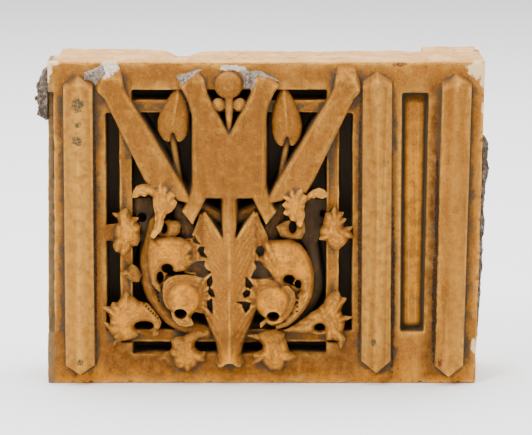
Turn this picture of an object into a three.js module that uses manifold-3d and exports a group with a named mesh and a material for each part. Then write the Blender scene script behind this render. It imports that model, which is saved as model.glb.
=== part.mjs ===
// Terracotta facing panel: a hollow-backed architectural block whose face carries
// three ridged bars, a sunk flute, and a pierced panel of straps, shield, buds and
// spiky acanthus scrolls. Lumps of old bedding mortar still cling to it.
//
// The face is modelled in relief space, in millimetres: u to the right, v up from
// the bed, w towards the viewer, with w = 0 on the plain face. A turned group at the
// end stands the panel up, so that the face looks along -Y and +Z is up.

import * as THREE from "three";
import { mergeVertices } from "three/addons/utils/BufferGeometryUtils.js";
import { ConvexGeometry } from "three/addons/geometries/ConvexGeometry.js";
import Module from "manifold-3d";

const wasm = await Module();
wasm.setup();

// Driving dimensions of the block
const WIDTH = 406;
const HEIGHT = 306;
const BED = 100; // from the plain face to the back rim
const SLAB = 48; // thickness of the facing slab
const WEB = 26; // thickness of the webs round the hollow back
const WEB_SET_IN = 10; // how far the left web stands in from the slab's end
const MID_HEIGHT = HEIGHT / 2;
const FINEST = 0.08; // slivers below this size are closed up

// The clay warped in firing: the right end leans outwards towards the top, and the
// left arris a little inwards. Both are given as sideways run per unit of height.
const RIGHT_LEAN = { slope: 0.0215, from: 120, to: 175 };
const LEFT_LEAN = { slope: 0.009, from: -190, to: -200 };

// The pierced panel, set out from its own axis
const AXIS = -32.5;
const GROUND = -34; // sunk ground behind the ornament
const FOOT = GROUND - 2; // ornament is rooted this deep
const FOREMOST = 40; // nothing in the panel stands further forward
const BED_MARGIN = 1; // the ornament keeps this far from the beds
const OPENING = { half: 115.7, low: 28.5, high: 280 };
const STRIP = { width: 11.2, slot: 13, sill: 10.8, sunk: -6, lap: 0.6 };

// Ridged bars: centre, and the heights where their pointed ends begin and finish
const BAR = { half: 13, draft: 2.4, edge: 9, ridge: 13 };
const BARS = [
  { name: "left", u: -173.2, low: 9.5, shoulderLow: 19, shoulderHigh: 285.5, high: 294 },
  { name: "middle", u: 105.6, low: 11.2, shoulderLow: 22.8, shoulderHigh: 289, high: 297.5 },
  { name: "right", u: 176.9, low: 7.5, shoulderLow: 18.5, shoulderHigh: 287, high: 295.5 },
];

// The sunk flute between the two right-hand bars
const FLUTE = { left: 128.5, right: 152, low: 49.5, high: 277, sunk: -17, crown: 5 };

// Diagonal straps of the V. A hipped head ends each one: corners of the hip on the
// strap's front and on the plain face, as distances from the axis and heights.
const STRAP = {
  reach: 111.5, high: 289, run: 150, lean: 28.4, waist: 11, flare: 3, foot: 16, front: 8, chamfer: 3,
  neck: 24,
  headFront: [[124, 283], [114.5, 290.5], [103.5, 291], [99, 284], [113, 271]],
  headBase: [[126.5, 281.5], [117.5, 303], [101.5, 303.5], [95.5, 286]],
};

// Shield, or tabard, in the middle: half-widths from the axis, and heights
const SHIELD = {
  half: 34, front: 9, chamfer: 2, notch: 238, armTip: [45.5, 283.5], armInner: [25, 291.5],
  bow: 1, armCurve: 17, legCurve: 12,
  sideHigh: 253, sideLow: 192, legTip: [44, 165.5], legEnd: [34.5, 153.5], crotch: [22, 178.7],
  armFront: [[44, 283.5], [33, 289], [26, 289], [22, 279], [37, 272]],
  armBase: [[46.5, 284.5], [39, 292], [29, 297.5], [23.5, 290]],
};
const SPINE = { half: 5.5, edge: 8.5, ridge: 11.5, low: 137 };

// Spearhead leaf below it: heights and half-widths down to its flared foot
const SPEAR = {
  edge: 6.5, ridge: 12,
  rows: [[140, 24.5], [130, 23], [115, 20], [96, 17.3], [80, 16.8], [72, 24.5], [53, 17.6], [38, 11.8],
    [29, 10.4], [21, 13.6], [15.5, 11]],
  arm: { top: 164.5, outer: 28, inner: 23.5, root: 5 },
};

// Buds on their stalks, and the fruit between the arms of the shield
const BUD = { half: 15.2, length: 55, crown: 5, rim: -9, lean: 6, nick: 4 };
const BUDS = [{ side: -1, off: 53, foot: 229.5 }, { side: 1, off: 54.5, foot: 226 }];
const STALK = { half: 3, front: -9, low: 186, inward: 8, lap: 12 };
const FRUIT = {
  radius: 13.2, v: 284.2, w: 0, berry: 6.2, berryOff: 9.9, berryV: 266.3, berryW: 2,
  stemHigh: 3.2, stemLow: 1.4, stemCrown: 5,
};

// A curved swag behind the spine, seen through the windows under the shield
const SWAG = { radius: 34, thick: 15, v: 187.5, front: -17, back: FOOT };

// Acanthus on either side of the axis. Each leaf is a domed lobe with a spiky edge:
// distance from the axis, height, half-width, half-height, turn in degrees, number of
// points, how deep they are cut, and how far its crown and rim stand forward.
const LEAVES = {
  left: [
    { off: 61, v: 174, ru: 13, rv: 19, turn: 8, teeth: 11, bite: 0.26, crown: 12, rim: 4 },
    { off: 53.5, v: 150.5, ru: 9, rv: 8.5, turn: 10, teeth: 5, bite: 0.3, crown: 7, rim: 2 },
    { off: 97, v: 147, ru: 13.5, rv: 21.5, turn: -6, teeth: 13, bite: 0.22, crown: 11, rim: 4 },
    { off: 115.5, v: 147, ru: 8, rv: 9.5, turn: 0, teeth: 6, bite: 0.42, crown: 5, rim: 2 },
    { off: 92.2, v: 105.8, ru: 9.5, rv: 8.5, turn: 0, teeth: 4, bite: 0.5, crown: 7, rim: 2 },
    { off: 55.5, v: 127, ru: 21, rv: 16, turn: -14, teeth: 10, bite: 0.12, crown: 16, rim: 4 },
    { off: 40, v: 88.5, ru: 22, rv: 19.5, turn: 0, teeth: 12, bite: 0.2, crown: 10, rim: 5 },
    { off: 95, v: 64.5, ru: 23, rv: 21, turn: 12, teeth: 11, bite: 0.24, crown: 14, rim: 4 },
    { off: 40, v: 32, ru: 17.5, rv: 19, turn: 0, teeth: 9, bite: 0.26, crown: 12, rim: 4 },
  ],
  right: [
    { off: 61.5, v: 174, ru: 12.5, rv: 19, turn: -6, teeth: 11, bite: 0.26, crown: 12, rim: 4 },
    { off: 52.2, v: 150.5, ru: 9, rv: 8.5, turn: 0, teeth: 5, bite: 0.3, crown: 7, rim: 2 },
    { off: 98.2, v: 150, ru: 14, rv: 18.5, turn: 8, teeth: 12, bite: 0.22, crown: 11, rim: 4 },
    { off: 113, v: 147.5, ru: 8, rv: 9, turn: 0, teeth: 6, bite: 0.42, crown: 5, rim: 2 },
    { off: 54, v: 119, ru: 22.5, rv: 20, turn: 20, teeth: 11, bite: 0.12, crown: 16, rim: 4 },
    { off: 38.5, v: 81, ru: 24, rv: 19.5, turn: 0, teeth: 12, bite: 0.2, crown: 10, rim: 5 },
    { off: 90, v: 61, ru: 24, rv: 19.5, turn: -12, teeth: 11, bite: 0.22, crown: 14, rim: 4 },
    { off: 41, v: 32.5, ru: 17.5, rv: 19, turn: 0, teeth: 9, bite: 0.26, crown: 12, rim: 4 },
  ],
};

// Round bosses at the heart of the lower scrolls
const BOSSES = {
  left: { off: 42.5, v: 86, radius: 15.5, w: 3 },
  right: { off: 39.5, v: 80.5, radius: 16, w: 3 },
};

// Curled tips of the top leaves, as short arched ribs
const CURLS = {
  left: { off: 78, v: 180, radius: 11, rib: 4.5, front: 9 },
  right: { off: 80, v: 179, radius: 11, rib: 4.5, front: 9 },
};

// The main stem of each scroll swings out from the foot of the spearhead and up to the
// top leaf; a second one runs along the bottom to the outer leaf.
const STEM = { half: 5.5, front: 3 };
const STEM_ROUTES = {
  left: [
    [[20, 51], [42, 52], [62, 62], [74, 82], [78, 106], [74, 128], [66, 152], [62, 168]],
    [[20, 45], [44, 46], [66, 48], [88, 58]],
  ],
  right: [
    [[20, 51], [44, 53], [63, 66], [75, 88], [78, 112], [74, 138], [68, 156], [63, 170]],
    [[20, 45], [44, 46], [66, 48], [84, 55]],
  ],
};

// Drilled eyes of the scrolls: distance from the axis, height, and radius
const EYES = {
  left: [
    [61.3, 150.5, 3.2], [58.4, 112.5, 4.6], [65, 103.5, 3.8], [46.2, 69.5, 5.6],
    [83, 57.3, 4.3], [78.5, 57.3, 4.3],
  ],
  right: [[59.8, 151.5, 3.6], [56, 103, 4.8], [64, 96.5, 3.6], [40, 66.8, 5.6], [85, 55.4, 4.8]],
};
const EYE_DEPTH = 30;
const EYE_FRONT = 24; // the bore starts this far in front of the plain face

// The rebate broken along the left arris, and the notch in the top web
const REBATE = { width: 6.5, low: 48.5, high: 278, deep: 9 };
const NOTCH = { left: -83, right: -63 };
const REAR_EAR = { left: 149, right: 200, drop: 62, deep: 26 };

// Mortar left on the block, clear of it by a hair
const GAP = 0.3;
const MORTAR_SIDE = { proud: 9, low: 250, high: 300, front: -3, back: -40 };
const MORTAR_JOINT = { proud: 4, low: 42, high: 232, front: -6, back: -44 };
const MORTAR_FACE = [
  {
    name: "mortar_strap_head", rise: 6,
    corners: [[-168, 296], [-161, 300], [-153.5, 303], [-154, 298], [-158, 289.5], [-160, 288.5]],
  },
  {
    name: "mortar_shield_arm", rise: 5,
    corners: [[-83, 293.5], [-69.5, 297.5], [-73, 294], [-79, 290], [-82.5, 289.5]],
  },
  {
    name: "mortar_fruit", rise: 6,
    corners: [
      [-20.5, 296.5], [-12, 299], [-10.2, 291], [-13.3, 283],
      [-17, 274.6], [-20.3, 278], [-18.4, 284], [-19, 290],
    ],
  },
];

const CLAY = new THREE.MeshStandardMaterial({ color: 0xc99a63, roughness: 0.82, metalness: 0 });
const MORTAR = new THREE.MeshStandardMaterial({ color: 0x8f877d, roughness: 0.95, metalness: 0 });

// A closed geometry as a solid that can be joined and cut.
function solidOf(geometry) {
  const bare = geometry.clone();
  for (const name of Object.keys(bare.attributes)) {
    if (name !== "position") bare.deleteAttribute(name);
  }
  const merged = mergeVertices(bare, 1e-4);
  return new wasm.Manifold(new wasm.Mesh({
    numProp: 3,
    vertProperties: new Float32Array(merged.attributes.position.array),
    triVerts: new Uint32Array(merged.index.array),
  }));
}

function geometryOf(solid) {
  const mesh = solid.getMesh();
  const geometry = new THREE.BufferGeometry();
  geometry.setAttribute("position", new THREE.BufferAttribute(new Float32Array(mesh.vertProperties), 3));
  geometry.setIndex(new THREE.BufferAttribute(new Uint32Array(mesh.triVerts), 1));
  geometry.computeVertexNormals();
  return geometry;
}

function fuse(solids) {
  return solids.reduce((whole, next) => whole.add(next));
}

function cut(solid, tools) {
  return tools.reduce((left, tool) => left.subtract(tool), solid);
}

// A box between two corners.
function box(u0, u1, v0, v1, w0, w1) {
  const geometry = new THREE.BoxGeometry(u1 - u0, v1 - v0, w1 - w0);
  geometry.translate((u0 + u1) / 2, (v0 + v1) / 2, (w0 + w1) / 2);
  return solidOf(geometry);
}

// A flat outline raised from back to front, with chamfered arrises.
function plate(shape, back, front, chamfer = 0, curveSegments = 6) {
  const geometry = new THREE.ExtrudeGeometry(shape, {
    depth: front - back - 2 * chamfer,
    curveSegments,
    bevelEnabled: chamfer > 0,
    bevelThickness: chamfer,
    bevelSize: chamfer,
    bevelOffset: -chamfer,
    bevelSegments: 1,
  });
  geometry.translate(0, 0, back + chamfer);
  return solidOf(geometry);
}

// A blade along v: rows of [v, half-width], lofted, with a crowned front.
// A power of 1 makes a straight-sided ridge, and 2 a rounded back.
function blade(rows, { back, edge, crown, power = 1, across = 2 }) {
  const positions = [];
  const faces = [];
  const ring = across + 3;
  for (const [v, half] of rows) {
    for (let i = 0; i <= across; i++) {
      const s = (2 * i) / across - 1;
      positions.push(half * s, v, edge + (crown - edge) * (1 - Math.abs(s) ** power));
    }
    positions.push(half, v, back, -half, v, back);
  }
  const quad = (a, b, c, d) => faces.push(a, b, c, a, c, d);
  for (let r = 0; r + 1 < rows.length; r++) {
    for (let i = 0; i < ring; i++) {
      const j = (i + 1) % ring;
      quad(r * ring + i, (r + 1) * ring + i, (r + 1) * ring + j, r * ring + j);
    }
  }
  const last = (rows.length - 1) * ring;
  for (let i = 1; i + 1 < ring; i++) {
    faces.push(0, i, i + 1);
    faces.push(last, last + i + 1, last + i);
  }
  const geometry = new THREE.BufferGeometry();
  geometry.setAttribute("position", new THREE.Float32BufferAttribute(positions, 3));
  geometry.setIndex(faces);
  return geometry;
}

// A domed lobe with a spiky outline, standing on the ground behind it.
function leafLobe({ ru, rv, teeth, bite, crown, rim }) {
  const rings = [0.45, 0.8, 1];
  const samples = teeth * 2;
  const outline = [];
  for (let k = 0; k < samples; k++) {
    const angle = (2 * Math.PI * k) / samples + Math.PI / 2;
    const spike = 1 - Math.abs(Math.sin((teeth * (angle - Math.PI / 2)) / 2));
    const reach = 1 + bite * (spike - 0.5);
    outline.push([ru * reach * Math.cos(angle), rv * reach * Math.sin(angle)]);
  }
  const positions = [0, 0, crown];
  for (const share of rings) {
    const w = rim + (crown - rim) * (1 - share ** 3);
    for (const [u, v] of outline) positions.push(u * share, v * share, w);
  }
  for (const [u, v] of outline) positions.push(u, v, FOOT);
  positions.push(0, 0, FOOT);
  const faces = [];
  const layers = rings.length + 1;
  const bottom = 1 + layers * samples;
  for (let k = 0; k < samples; k++) {
    const next = (k + 1) % samples;
    faces.push(0, 1 + k, 1 + next);
    for (let layer = 0; layer + 1 < layers; layer++) {
      const a = 1 + layer * samples;
      const b = a + samples;
      faces.push(a + k, b + k, b + next, a + k, b + next, a + next);
    }
    const root = 1 + (layers - 1) * samples;
    faces.push(root + k, bottom, root + next);
  }
  const geometry = new THREE.BufferGeometry();
  geometry.setAttribute("position", new THREE.Float32BufferAttribute(positions, 3));
  geometry.setIndex(faces);
  return geometry;
}

// A rounded rib along a curve that lies in the plane of the face, standing on the ground.
function rib(points, front, half, steps) {
  const curve = new THREE.CatmullRomCurve3(points.map(([u, v]) => new THREE.Vector3(u, v, front)));
  const shoulder = 6;
  const section = new THREE.Shape();
  section.moveTo(0, half / 3);
  section.lineTo(shoulder, half);
  section.lineTo(front - FOOT, half);
  section.lineTo(front - FOOT, -half);
  section.lineTo(shoulder, -half);
  section.lineTo(0, -half / 3);
  section.closePath();
  return solidOf(new THREE.ExtrudeGeometry(section, { extrudePath: curve, steps, bevelEnabled: false }));
}

// A bored hole from the front.
function drill(u, v, radius) {
  const geometry = new THREE.CylinderGeometry(radius, radius, EYE_FRONT + EYE_DEPTH, 10);
  geometry.rotateX(Math.PI / 2);
  geometry.translate(u, v, (EYE_FRONT - EYE_DEPTH) / 2);
  return solidOf(geometry);
}

// A round boss: half a ball on a short drum that reaches the ground.
function ball(u, v, w, radius) {
  const profile = [new THREE.Vector2(0, FOOT - w), new THREE.Vector2(radius, FOOT - w)];
  const steps = 4;
  for (let i = 0; i <= steps; i++) {
    const angle = (Math.PI / 2) * (i / steps);
    profile.push(new THREE.Vector2(i === steps ? 0 : radius * Math.cos(angle), radius * Math.sin(angle)));
  }
  const geometry = new THREE.LatheGeometry(profile, 16);
  geometry.rotateX(Math.PI / 2);
  geometry.translate(u, v, w);
  return solidOf(geometry);
}

function signOf(side) {
  return side === "left" ? -1 : 1;
}

// The facing slab and the webs behind it, with the hollow back left open.
function blockBody() {
  const left = -WIDTH / 2;
  const right = WIDTH / 2;
  const webLeft = left + WEB_SET_IN;
  const webHigh = HEIGHT - WEB;
  const earLow = HEIGHT - REAR_EAR.drop;
  const earBack = -BED - REAR_EAR.deep;
  const slab = box(left, right, 0, HEIGHT, -SLAB, 0);
  const tray = box(webLeft, right, 0, HEIGHT, -BED, -SLAB + 1);
  const ear = box(REAR_EAR.left, REAR_EAR.right, earLow, HEIGHT, earBack, -BED + 1);
  const hollow = box(webLeft + WEB, right - WEB, WEB, webHigh, -BED - 1, -SLAB);
  const earHollow = box(REAR_EAR.left - 1, REAR_EAR.right - WEB, earLow - 1, webHigh, earBack - 1, -BED);
  const notch = box(NOTCH.left, NOTCH.right, webHigh - 1, HEIGHT + 1, -BED - 1, -SLAB);
  const rebate = box(left - 1, left + REBATE.width, REBATE.low, REBATE.high, -REBATE.deep, 1);
  return cut(fuse([slab, tray, ear]), [hollow, earHollow, notch, rebate]);
}

// The pierced panel's ground, the slots round it and the sunk strips between.
function openingCuts() {
  const left = AXIS - OPENING.half;
  const right = AXIS + OPENING.half;
  const inner = STRIP.slot + STRIP.width;
  const innerV = STRIP.sill + STRIP.width;
  const sunkU = STRIP.slot - STRIP.lap;
  const sunkV = STRIP.sill - STRIP.lap;
  const { low, high } = OPENING;
  return [
    box(left + inner, right - inner, low + innerV, high - innerV, GROUND, 1),
    box(left, left + STRIP.slot, low + innerV, high - innerV, GROUND, 1),
    box(right - STRIP.slot, right, low + innerV, high - innerV, GROUND, 1),
    box(left + inner, right - inner, low, low + STRIP.sill, GROUND, 1),
    box(left + inner, right - inner, high - STRIP.sill, high, GROUND, 1),
    box(left + sunkU, right - sunkU, low + sunkV, high - sunkV, STRIP.sunk, 1),
  ];
}

// The flute's floor is slightly pillowed, so its edges lie deepest.
function fluteCut() {
  const half = (FLUTE.right - FLUTE.left) / 2;
  const trough = box(FLUTE.left, FLUTE.right, FLUTE.low, FLUTE.high, FLUTE.sunk, 1);
  const floor = solidOf(
    blade([[FLUTE.high + 5, half + 1], [FLUTE.low - 5, half + 1]], {
      back: FLUTE.sunk - 5, edge: FLUTE.sunk - 1, crown: FLUTE.sunk + FLUTE.crown, power: 2, across: 6,
    }).translate((FLUTE.left + FLUTE.right) / 2, 0, 0),
  );
  return trough.subtract(floor);
}

// A hipped end, sloping from an outline on the front of a strap back to the plain face.
function hip(front, w, base, side) {
  const points = [
    ...front.map(([off, v]) => new THREE.Vector3(AXIS + side * off, v, w)),
    ...base.map(([off, v]) => new THREE.Vector3(AXIS + side * off, v, -1)),
  ];
  return solidOf(new ConvexGeometry(points));
}

// A bar with a ridged front, a hipped top and a pointed foot.
function bar({ u, low, shoulderLow, shoulderHigh, high }) {
  const points = [];
  const add = (du, v, w) => points.push(new THREE.Vector3(u + du, v, w));
  for (const side of [-1, 1]) {
    add(side * BAR.half, shoulderLow, BAR.edge);
    add(side * BAR.half, shoulderHigh - BAR.draft, BAR.edge);
    add(side * (BAR.half + BAR.draft), shoulderLow - BAR.draft, -1);
    add(side * (BAR.half + BAR.draft), shoulderHigh, -1);
  }
  add(0, low, BAR.ridge);
  add(0, shoulderHigh, BAR.ridge);
  add(0, low - BAR.draft, -1);
  add(0, high, -1);
  return solidOf(new ConvexGeometry(points));
}

// A strap of the V: flared at its head, waisted below it, widening to its foot.
function strap(side) {
  const { waist, flare, foot, run, front, chamfer, neck } = STRAP;
  const shape = new THREE.Shape();
  shape.moveTo(-waist - flare, 0);
  shape.quadraticCurveTo(-waist, -neck / 2, -waist, -neck);
  shape.lineTo(-foot, -run);
  shape.lineTo(foot, -run);
  shape.lineTo(waist, -neck);
  shape.quadraticCurveTo(waist, -neck / 2, waist + flare, 0);
  shape.closePath();
  const arm = plate(shape, FOOT, front, chamfer)
    .rotate([0, 0, -side * STRAP.lean])
    .translate([AXIS + side * STRAP.reach, STRAP.high, 0]);
  return arm.add(hip(STRAP.headFront, front, STRAP.headBase, side));
}

function shield() {
  const { half, armTip, armInner, notch, sideHigh, sideLow, legTip, legEnd, crotch, front } = SHIELD;
  const bowed = half + SHIELD.bow;
  const armBend = sideHigh + SHIELD.armCurve;
  const legBend = sideLow - SHIELD.legCurve;
  const shape = new THREE.Shape();
  shape.moveTo(0, notch);
  shape.lineTo(...armInner);
  shape.lineTo(...armTip);
  shape.quadraticCurveTo(bowed, armBend, half, sideHigh);
  shape.lineTo(half, sideLow);
  shape.quadraticCurveTo(bowed, legBend, ...legTip);
  shape.lineTo(...legEnd);
  shape.lineTo(...crotch);
  shape.lineTo(-crotch[0], crotch[1]);
  shape.lineTo(-legEnd[0], legEnd[1]);
  shape.lineTo(-legTip[0], legTip[1]);
  shape.quadraticCurveTo(-bowed, legBend, -half, sideLow);
  shape.lineTo(-half, sideHigh);
  shape.quadraticCurveTo(-bowed, armBend, -armTip[0], armTip[1]);
  shape.lineTo(-armInner[0], armInner[1]);
  shape.closePath();
  const body = plate(shape, FOOT, front, SHIELD.chamfer);
  const spine = solidOf(blade(
    [[notch, 1], [crotch[1], SPINE.half], [SPINE.low, SPINE.half]],
    { back: FOOT, edge: SPINE.edge, crown: SPINE.ridge },
  ));
  const hips = [-1, 1].map((side) => hip(SHIELD.armFront, front, SHIELD.armBase, side));
  return fuse([body.add(spine).translate([AXIS, 0, 0]), ...hips]);
}

function spearhead() {
  const { edge, ridge, rows, arm } = SPEAR;
  const [shoulderV, shoulderHalf] = rows[0];
  const body = solidOf(blade(rows, { back: FOOT, edge, crown: ridge }));
  const arms = [-1, 1].map((side) => {
    const corners = [
      [arm.root, shoulderV - 2], [shoulderHalf, shoulderV - 2],
      [arm.outer, arm.top - 2], [arm.inner, arm.top],
    ];
    const hull = corners.flatMap(([du, v], i) => [
      new THREE.Vector3(side * du, v, i === 0 ? ridge - 1 : edge + 1),
      new THREE.Vector3(side * du, v, FOOT),
    ]);
    return solidOf(new ConvexGeometry(hull));
  });
  return fuse([body, ...arms]).translate([AXIS, 0, 0]);
}

// A bud: broad and rounded below, drawn out to a point, nicked where the stalk enters.
function bud({ side, off, foot }) {
  const rows = [];
  const steps = 8;
  for (let i = 0; i <= steps; i++) {
    const t = 0.03 + (0.96 * i) / steps;
    rows.push([(1 - t) * BUD.length, BUD.half * Math.sin(Math.PI * (1 - t) ** 0.6) ** 0.8]);
  }
  const body = solidOf(blade(rows, { back: FOOT, edge: BUD.rim, crown: BUD.crown, power: 1.7, across: 6 }));
  const nick = box(-BUD.nick, BUD.nick, -1, 2 * BUD.nick, FOOT - 1, BUD.crown + 1);
  const turned = body.subtract(nick).rotate([0, 0, side * BUD.lean]);
  return turned.translate([AXIS + side * off, foot, 0]);
}

function stalk({ side, off, foot }) {
  const shape = new THREE.Shape();
  const { half, low, inward, lap } = STALK;
  shape.moveTo(side * off - half, foot + lap);
  shape.lineTo(side * (off - inward) - half / 2, low);
  shape.lineTo(side * (off - inward) + half / 2, low);
  shape.lineTo(side * off + half, foot + lap);
  shape.closePath();
  return plate(shape, FOOT, STALK.front).translate([AXIS, 0, 0]);
}

function fruit() {
  const { radius, v, w, berry, berryOff, berryV, berryW, stemHigh, stemLow, stemCrown } = FRUIT;
  const berries = [-1, 1].map((side) => ball(AXIS + side * berryOff, berryV, berryW, berry));
  const stem = solidOf(blade(
    [[v - radius, stemHigh], [SHIELD.notch - 2, stemLow]],
    { back: FOOT, edge: 0, crown: stemCrown, power: 2, across: 4 },
  ));
  return fuse([ball(AXIS, v, w, radius), stem.translate([AXIS, 0, 0]), ...berries]);
}

function swag() {
  const shape = new THREE.Shape();
  shape.absarc(0, 0, SWAG.radius, Math.PI, 2 * Math.PI, false);
  shape.absarc(0, 0, SWAG.radius - SWAG.thick, 2 * Math.PI, Math.PI, true);
  shape.closePath();
  return plate(shape, SWAG.back, SWAG.front, 0, 10).translate([AXIS, SWAG.v, 0]);
}

function leaf(spec, side) {
  return solidOf(leafLobe(spec))
    .rotate([0, 0, -side * spec.turn])
    .translate([AXIS + side * spec.off, spec.v, 0]);
}

// The curled tip of a top leaf, an arch that bends outwards and down.
function curl({ off, v, radius, rib: half, front }, side) {
  const points = [];
  const steps = 5;
  for (let i = 0; i <= steps; i++) {
    const angle = Math.PI * (0.95 - (0.95 * i) / steps);
    points.push([AXIS + side * (off + radius * Math.cos(angle)), v + radius * Math.sin(angle)]);
  }
  return rib(points, front, half, 8);
}

function foliage(name) {
  const side = signOf(name);
  const boss = BOSSES[name];
  const stems = STEM_ROUTES[name].map((route) =>
    rib(route.map(([off, v]) => [AXIS + side * off, v]), STEM.front, STEM.half, 14),
  );
  const leaves = LEAVES[name].map((spec) => leaf(spec, side));
  const bossBall = ball(AXIS + side * boss.off, boss.v, boss.w, boss.radius);
  const whole = fuse([...stems, ...leaves, bossBall, curl(CURLS[name], side)]);
  return cut(whole, EYES[name].map(([off, v, radius]) => drill(AXIS + side * off, v, radius)));
}

// All that stands in the pierced panel, as one solid.
function ornament() {
  return fuse([
    ...[-1, 1].map(strap), shield(), spearhead(), fruit(), swag(),
    ...BUDS.map(bud), ...BUDS.map(stalk), foliage("left"), foliage("right"),
  ]);
}

// How far the warped ends lean at a given place along the face.
function leanAt(u) {
  const share = ({ from, to }) => THREE.MathUtils.smoothstep((u - from) / (to - from), 0, 1);
  return RIGHT_LEAN.slope * share(RIGHT_LEAN) + LEFT_LEAN.slope * share(LEFT_LEAN);
}

function warped(geometry) {
  const position = geometry.attributes.position;
  for (let i = 0; i < position.count; i++) {
    const u = position.getX(i);
    position.setX(i, u + leanAt(u) * (position.getY(i) - MID_HEIGHT));
  }
  geometry.computeVertexNormals();
  return geometry;
}

// The block with its ornament, which is trimmed so that none of it passes through the
// hollow back or over the beds.
function block() {
  const body = cut(blockBody(), [...openingCuts(), fluteCut()]);
  const room = box(-WIDTH / 2, WIDTH / 2, BED_MARGIN, HEIGHT - BED_MARGIN, FOOT, FOREMOST);
  const trimmed = ornament().intersect(room);
  const whole = fuse([body, trimmed, ...BARS.map(bar)]);
  const mesh = new THREE.Mesh(warped(geometryOf(whole.asOriginal().simplify(FINEST))), CLAY);
  mesh.name = "terracotta_block";
  return mesh;
}

function mortarMesh(name, solid) {
  const mesh = new THREE.Mesh(warped(geometryOf(solid)), MORTAR);
  mesh.name = name;
  return mesh;
}

// A lump hanging on the left end near the top, thickest in the middle.
function mortarLump() {
  const { proud, low, high, front, back } = MORTAR_SIDE;
  const u = -WIDTH / 2 - GAP;
  const points = [
    [0, low, front], [0, low, back], [0, high, front], [0, high, back],
    [-proud, low + 3, front - 6], [-proud, low + 3, back + 6],
    [-proud, (low + high) / 2 + 9, front - 3], [-proud, (low + high) / 2 + 9, back + 4],
    [-proud / 2, high - 4, front - 6], [-proud / 2, high - 4, back + 6],
  ];
  return solidOf(new ConvexGeometry(points.map(([du, v, w]) => new THREE.Vector3(u + du, v, w))));
}

// A long skin of joint mortar down the right end, swelling near its top.
function mortarJoint() {
  const { proud, low, high, front, back } = MORTAR_JOINT;
  const u = WIDTH / 2 + GAP;
  const bulge = high - 24;
  const points = [
    [0, low, front], [0, low, back], [0, high, front], [0, high, back],
    [proud / 3, low + 2, front - 3], [proud / 3, low + 2, back + 3],
    [proud, bulge, front - 5], [proud, bulge, back + 5],
    [proud * 0.8, bulge - 20, front - 5], [proud * 0.8, bulge - 20, back + 5],
  ];
  return solidOf(new ConvexGeometry(points.map(([du, v, w]) => new THREE.Vector3(u + du, v, w))));
}

function mortarPatch({ rise, corners }) {
  const shape = new THREE.Shape(corners.map(([u, v]) => new THREE.Vector2(u, v)));
  return plate(shape, GAP, rise, 1);
}

const panel = new THREE.Group();
panel.rotation.x = Math.PI / 2;
panel.position.y = -BED / 2;
panel.add(block());
panel.add(mortarMesh("mortar_left_end", mortarLump()));
panel.add(mortarMesh("mortar_right_end", mortarJoint()));
for (const patch of MORTAR_FACE) panel.add(mortarMesh(patch.name, mortarPatch(patch)));

export default panel;
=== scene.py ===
import itertools
import math

import bpy
import numpy as np
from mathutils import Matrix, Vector


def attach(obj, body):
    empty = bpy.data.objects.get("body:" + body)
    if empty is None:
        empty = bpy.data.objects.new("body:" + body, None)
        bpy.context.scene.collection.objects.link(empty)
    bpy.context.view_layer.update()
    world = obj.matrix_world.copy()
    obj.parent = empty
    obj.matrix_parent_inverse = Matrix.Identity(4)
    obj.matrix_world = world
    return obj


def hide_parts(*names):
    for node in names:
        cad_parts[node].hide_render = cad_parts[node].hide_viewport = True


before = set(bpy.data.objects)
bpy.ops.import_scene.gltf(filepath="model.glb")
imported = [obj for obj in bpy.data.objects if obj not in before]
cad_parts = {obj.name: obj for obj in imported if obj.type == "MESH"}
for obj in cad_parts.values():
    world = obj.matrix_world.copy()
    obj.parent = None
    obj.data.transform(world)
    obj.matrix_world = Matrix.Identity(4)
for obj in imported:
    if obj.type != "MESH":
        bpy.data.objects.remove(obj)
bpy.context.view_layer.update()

# Relief space, in millimetres: u to the right, v up from the bed, w towards the viewer,
# with w = 0 on the plain face. Most places in the panel are given as distances from its axis.

# Fineness of the carving, and of the meshes made from it
STEP = 0.8
BACK_STEP = 1.6
FACE_TRIANGLES = 190000
BACK_TRIANGLES = 60000
MORTAR_TRIANGLES = 12000
SHARP_ANGLE = 50

# Limits of the carved space, across and up
REACH_LOW, REACH_HIGH = (-209, -3), (211, 309)

# Steps to the eight corners of a cell
CORNERS = list(itertools.product((0, 1), repeat=3))

# Driving dimensions of the block
WIDTH, HEIGHT, BED = 406.0, 306.0, 100.0
SLAB = 48.0  # thickness of the facing slab
WEB = 26.0  # thickness of the webs round the hollow back
WEB_SET_IN = 8.0  # how far the left web stands in from the end of the slab
MID = HEIGHT / 2

# Warp of the fired clay at each end: sideways run per unit of height, its start and where it is full
RIGHT_LEAN = (0.0215, 120, 175)
LEFT_LEAN = (0.009, 190, 200)

# The broken rear edge of the top web as places along it and their depth, the scooped notch in it,
# and the longer rear corner: left, right, low and back
REAR_EDGE = ((-203, -104), (-125, -103), (-92, -94), (-57, -91), (0, -88), (145, -87), (160, -100))
SCOOP = -76.0
EAR = (149.0, 200.0, 244.0, -126.0)

# The pierced panel
AXIS = -32.5
GROUND = -34.0
FOOT = GROUND - 3.0  # the ornament is rooted this deep
EYE_FLOOR = GROUND + 4.0  # the drilled eyes stop here
FOREMOST = 19  # nothing stands further forward
DIAGONAL = 0.707  # slope of a chamfer at 45 degrees
LEFT, RIGHT = -1, 1

# Ridged bars: centre, foot, lower shoulder, upper shoulder and head
BARS = (
    (-173.2, 9.5, 19, 285.5, 294),
    (105.6, 11.2, 22.8, 289, 297.5),
    (176.9, 7.5, 18.5, 287, 295.5),
)

# Buds: side, tip, foot, distance of the middle from the axis, half width and lean
BUDS = (
    (LEFT, (47.5, 284.6), 229.5, 53.5, 15.3, 4),
    (RIGHT, (51.2, 284.5), 225.5, 54.5, 14.6, 2),
)

# The sunk flute: left, right, low and high
FLUTE = (128.5, 152.0, 49.5, 277.0)

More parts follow.
